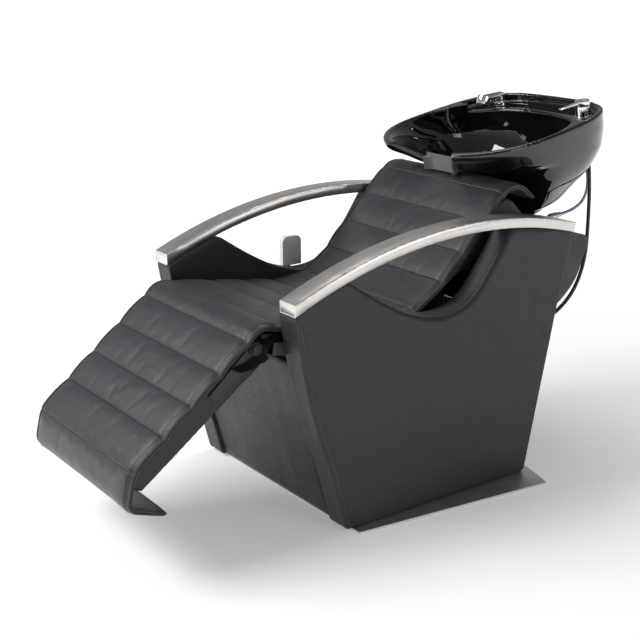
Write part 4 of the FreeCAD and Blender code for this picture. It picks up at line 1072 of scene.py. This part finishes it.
# ---------------------------------------------------------------- studio
def area_light(name, place, target, size, power):
    data = bpy.data.lights.new(name, "AREA")
    data.shape = "RECTANGLE"
    data.size, data.size_y = size
    data.energy = power
    lamp = bpy.data.objects.new(name, data)
    lamp.location = place
    lamp.rotation_euler = (Vector(target) - Vector(place)).to_track_quat("-Z", "Y").to_euler()
    bpy.context.scene.collection.objects.link(lamp)


def build_studio():
    scene = bpy.context.scene
    paper = Shader("studio_paper")
    paper.set(Roughness=0.8, Base_Color=(0.90, 0.90, 0.90, 1))
    split = paper.tree.nodes.new("ShaderNodeVectorMath")
    split.operation = "LENGTH"
    paper.link(paper.coords, split.inputs[0])
    glow = paper.remap(split.outputs["Value"], 0.5, 4.0, 0.28, 0.90)
    paper.surface.inputs["Emission Color"].default_value = (1, 1, 1, 1)
    paper.link(glow, paper.surface.inputs["Emission Strength"])
    corners = [(-60, -60, 0), (60, -60, 0), (60, 60, 0), (-60, 60, 0)]
    floor = new_mesh("studio_floor", corners, [(0, 1, 2, 3)], paper.material, False)
    floor.location.z = CAD_BOX[0][2] - 0.0002
    world = bpy.data.worlds.new("studio")
    scene.world = world
    world.use_nodes = True
    tree = world.node_tree
    coords = tree.nodes.new("ShaderNodeTexCoord").outputs["Generated"]
    height = tree.nodes.new("ShaderNodeSeparateXYZ")
    tree.links.new(coords, height.inputs[0])
    ramp = tree.nodes.new("ShaderNodeValToRGB")
    tree.links.new(height.outputs["Z"], ramp.inputs["Fac"])
    stops = ramp.color_ramp.elements
    stops[0].position, stops[0].color = 0.0, (0.85, 0.85, 0.86, 1)
    stops[1].position, stops[1].color = 0.85, (0.16, 0.165, 0.18, 1)
    middle = stops.new(0.22)
    middle.color = (0.36, 0.365, 0.38, 1)
    tree.links.new(ramp.outputs["Color"], tree.nodes["Background"].inputs["Color"])
    tree.nodes["Background"].inputs["Strength"].default_value = 0.8
    area_light("key", (-1.2, -2.9, 2.9), (0.0, -0.2, 0.45), (2.2, 1.5), 118)
    area_light("side", (3.4, 0.5, 1.6), (0.0, 0.1, 0.5), (1.6, 1.2), 14)
    area_light("top", (-0.8, 0.6, 3.2), (0.0, 0.1, 0.6), (1.8, 1.0), 22)
    camera_data = bpy.data.cameras.new("camera")
    camera_data.lens = 68.06
    camera_data.sensor_width = 36.0
    camera = bpy.data.objects.new("camera", camera_data)
    camera.location = (2.3922, -1.8972, 1.3386)
    camera.rotation_euler = Vector((-0.7731, 0.5617, -0.2946)).to_track_quat("-Z", "Y").to_euler()
    scene.collection.objects.link(camera)
    scene.camera = camera
    scene.view_settings.view_transform = "Standard"


build_studio()
build_cords()
build_pad()
build_pad_trim()
build_panel(1)
build_panel(-1)
build_apron()
build_knee()
build_wrapped("leg_rest_box", "leg_box")
build_wrapped("backrest_box", "back_box")
build_basin()
dress_nodes()
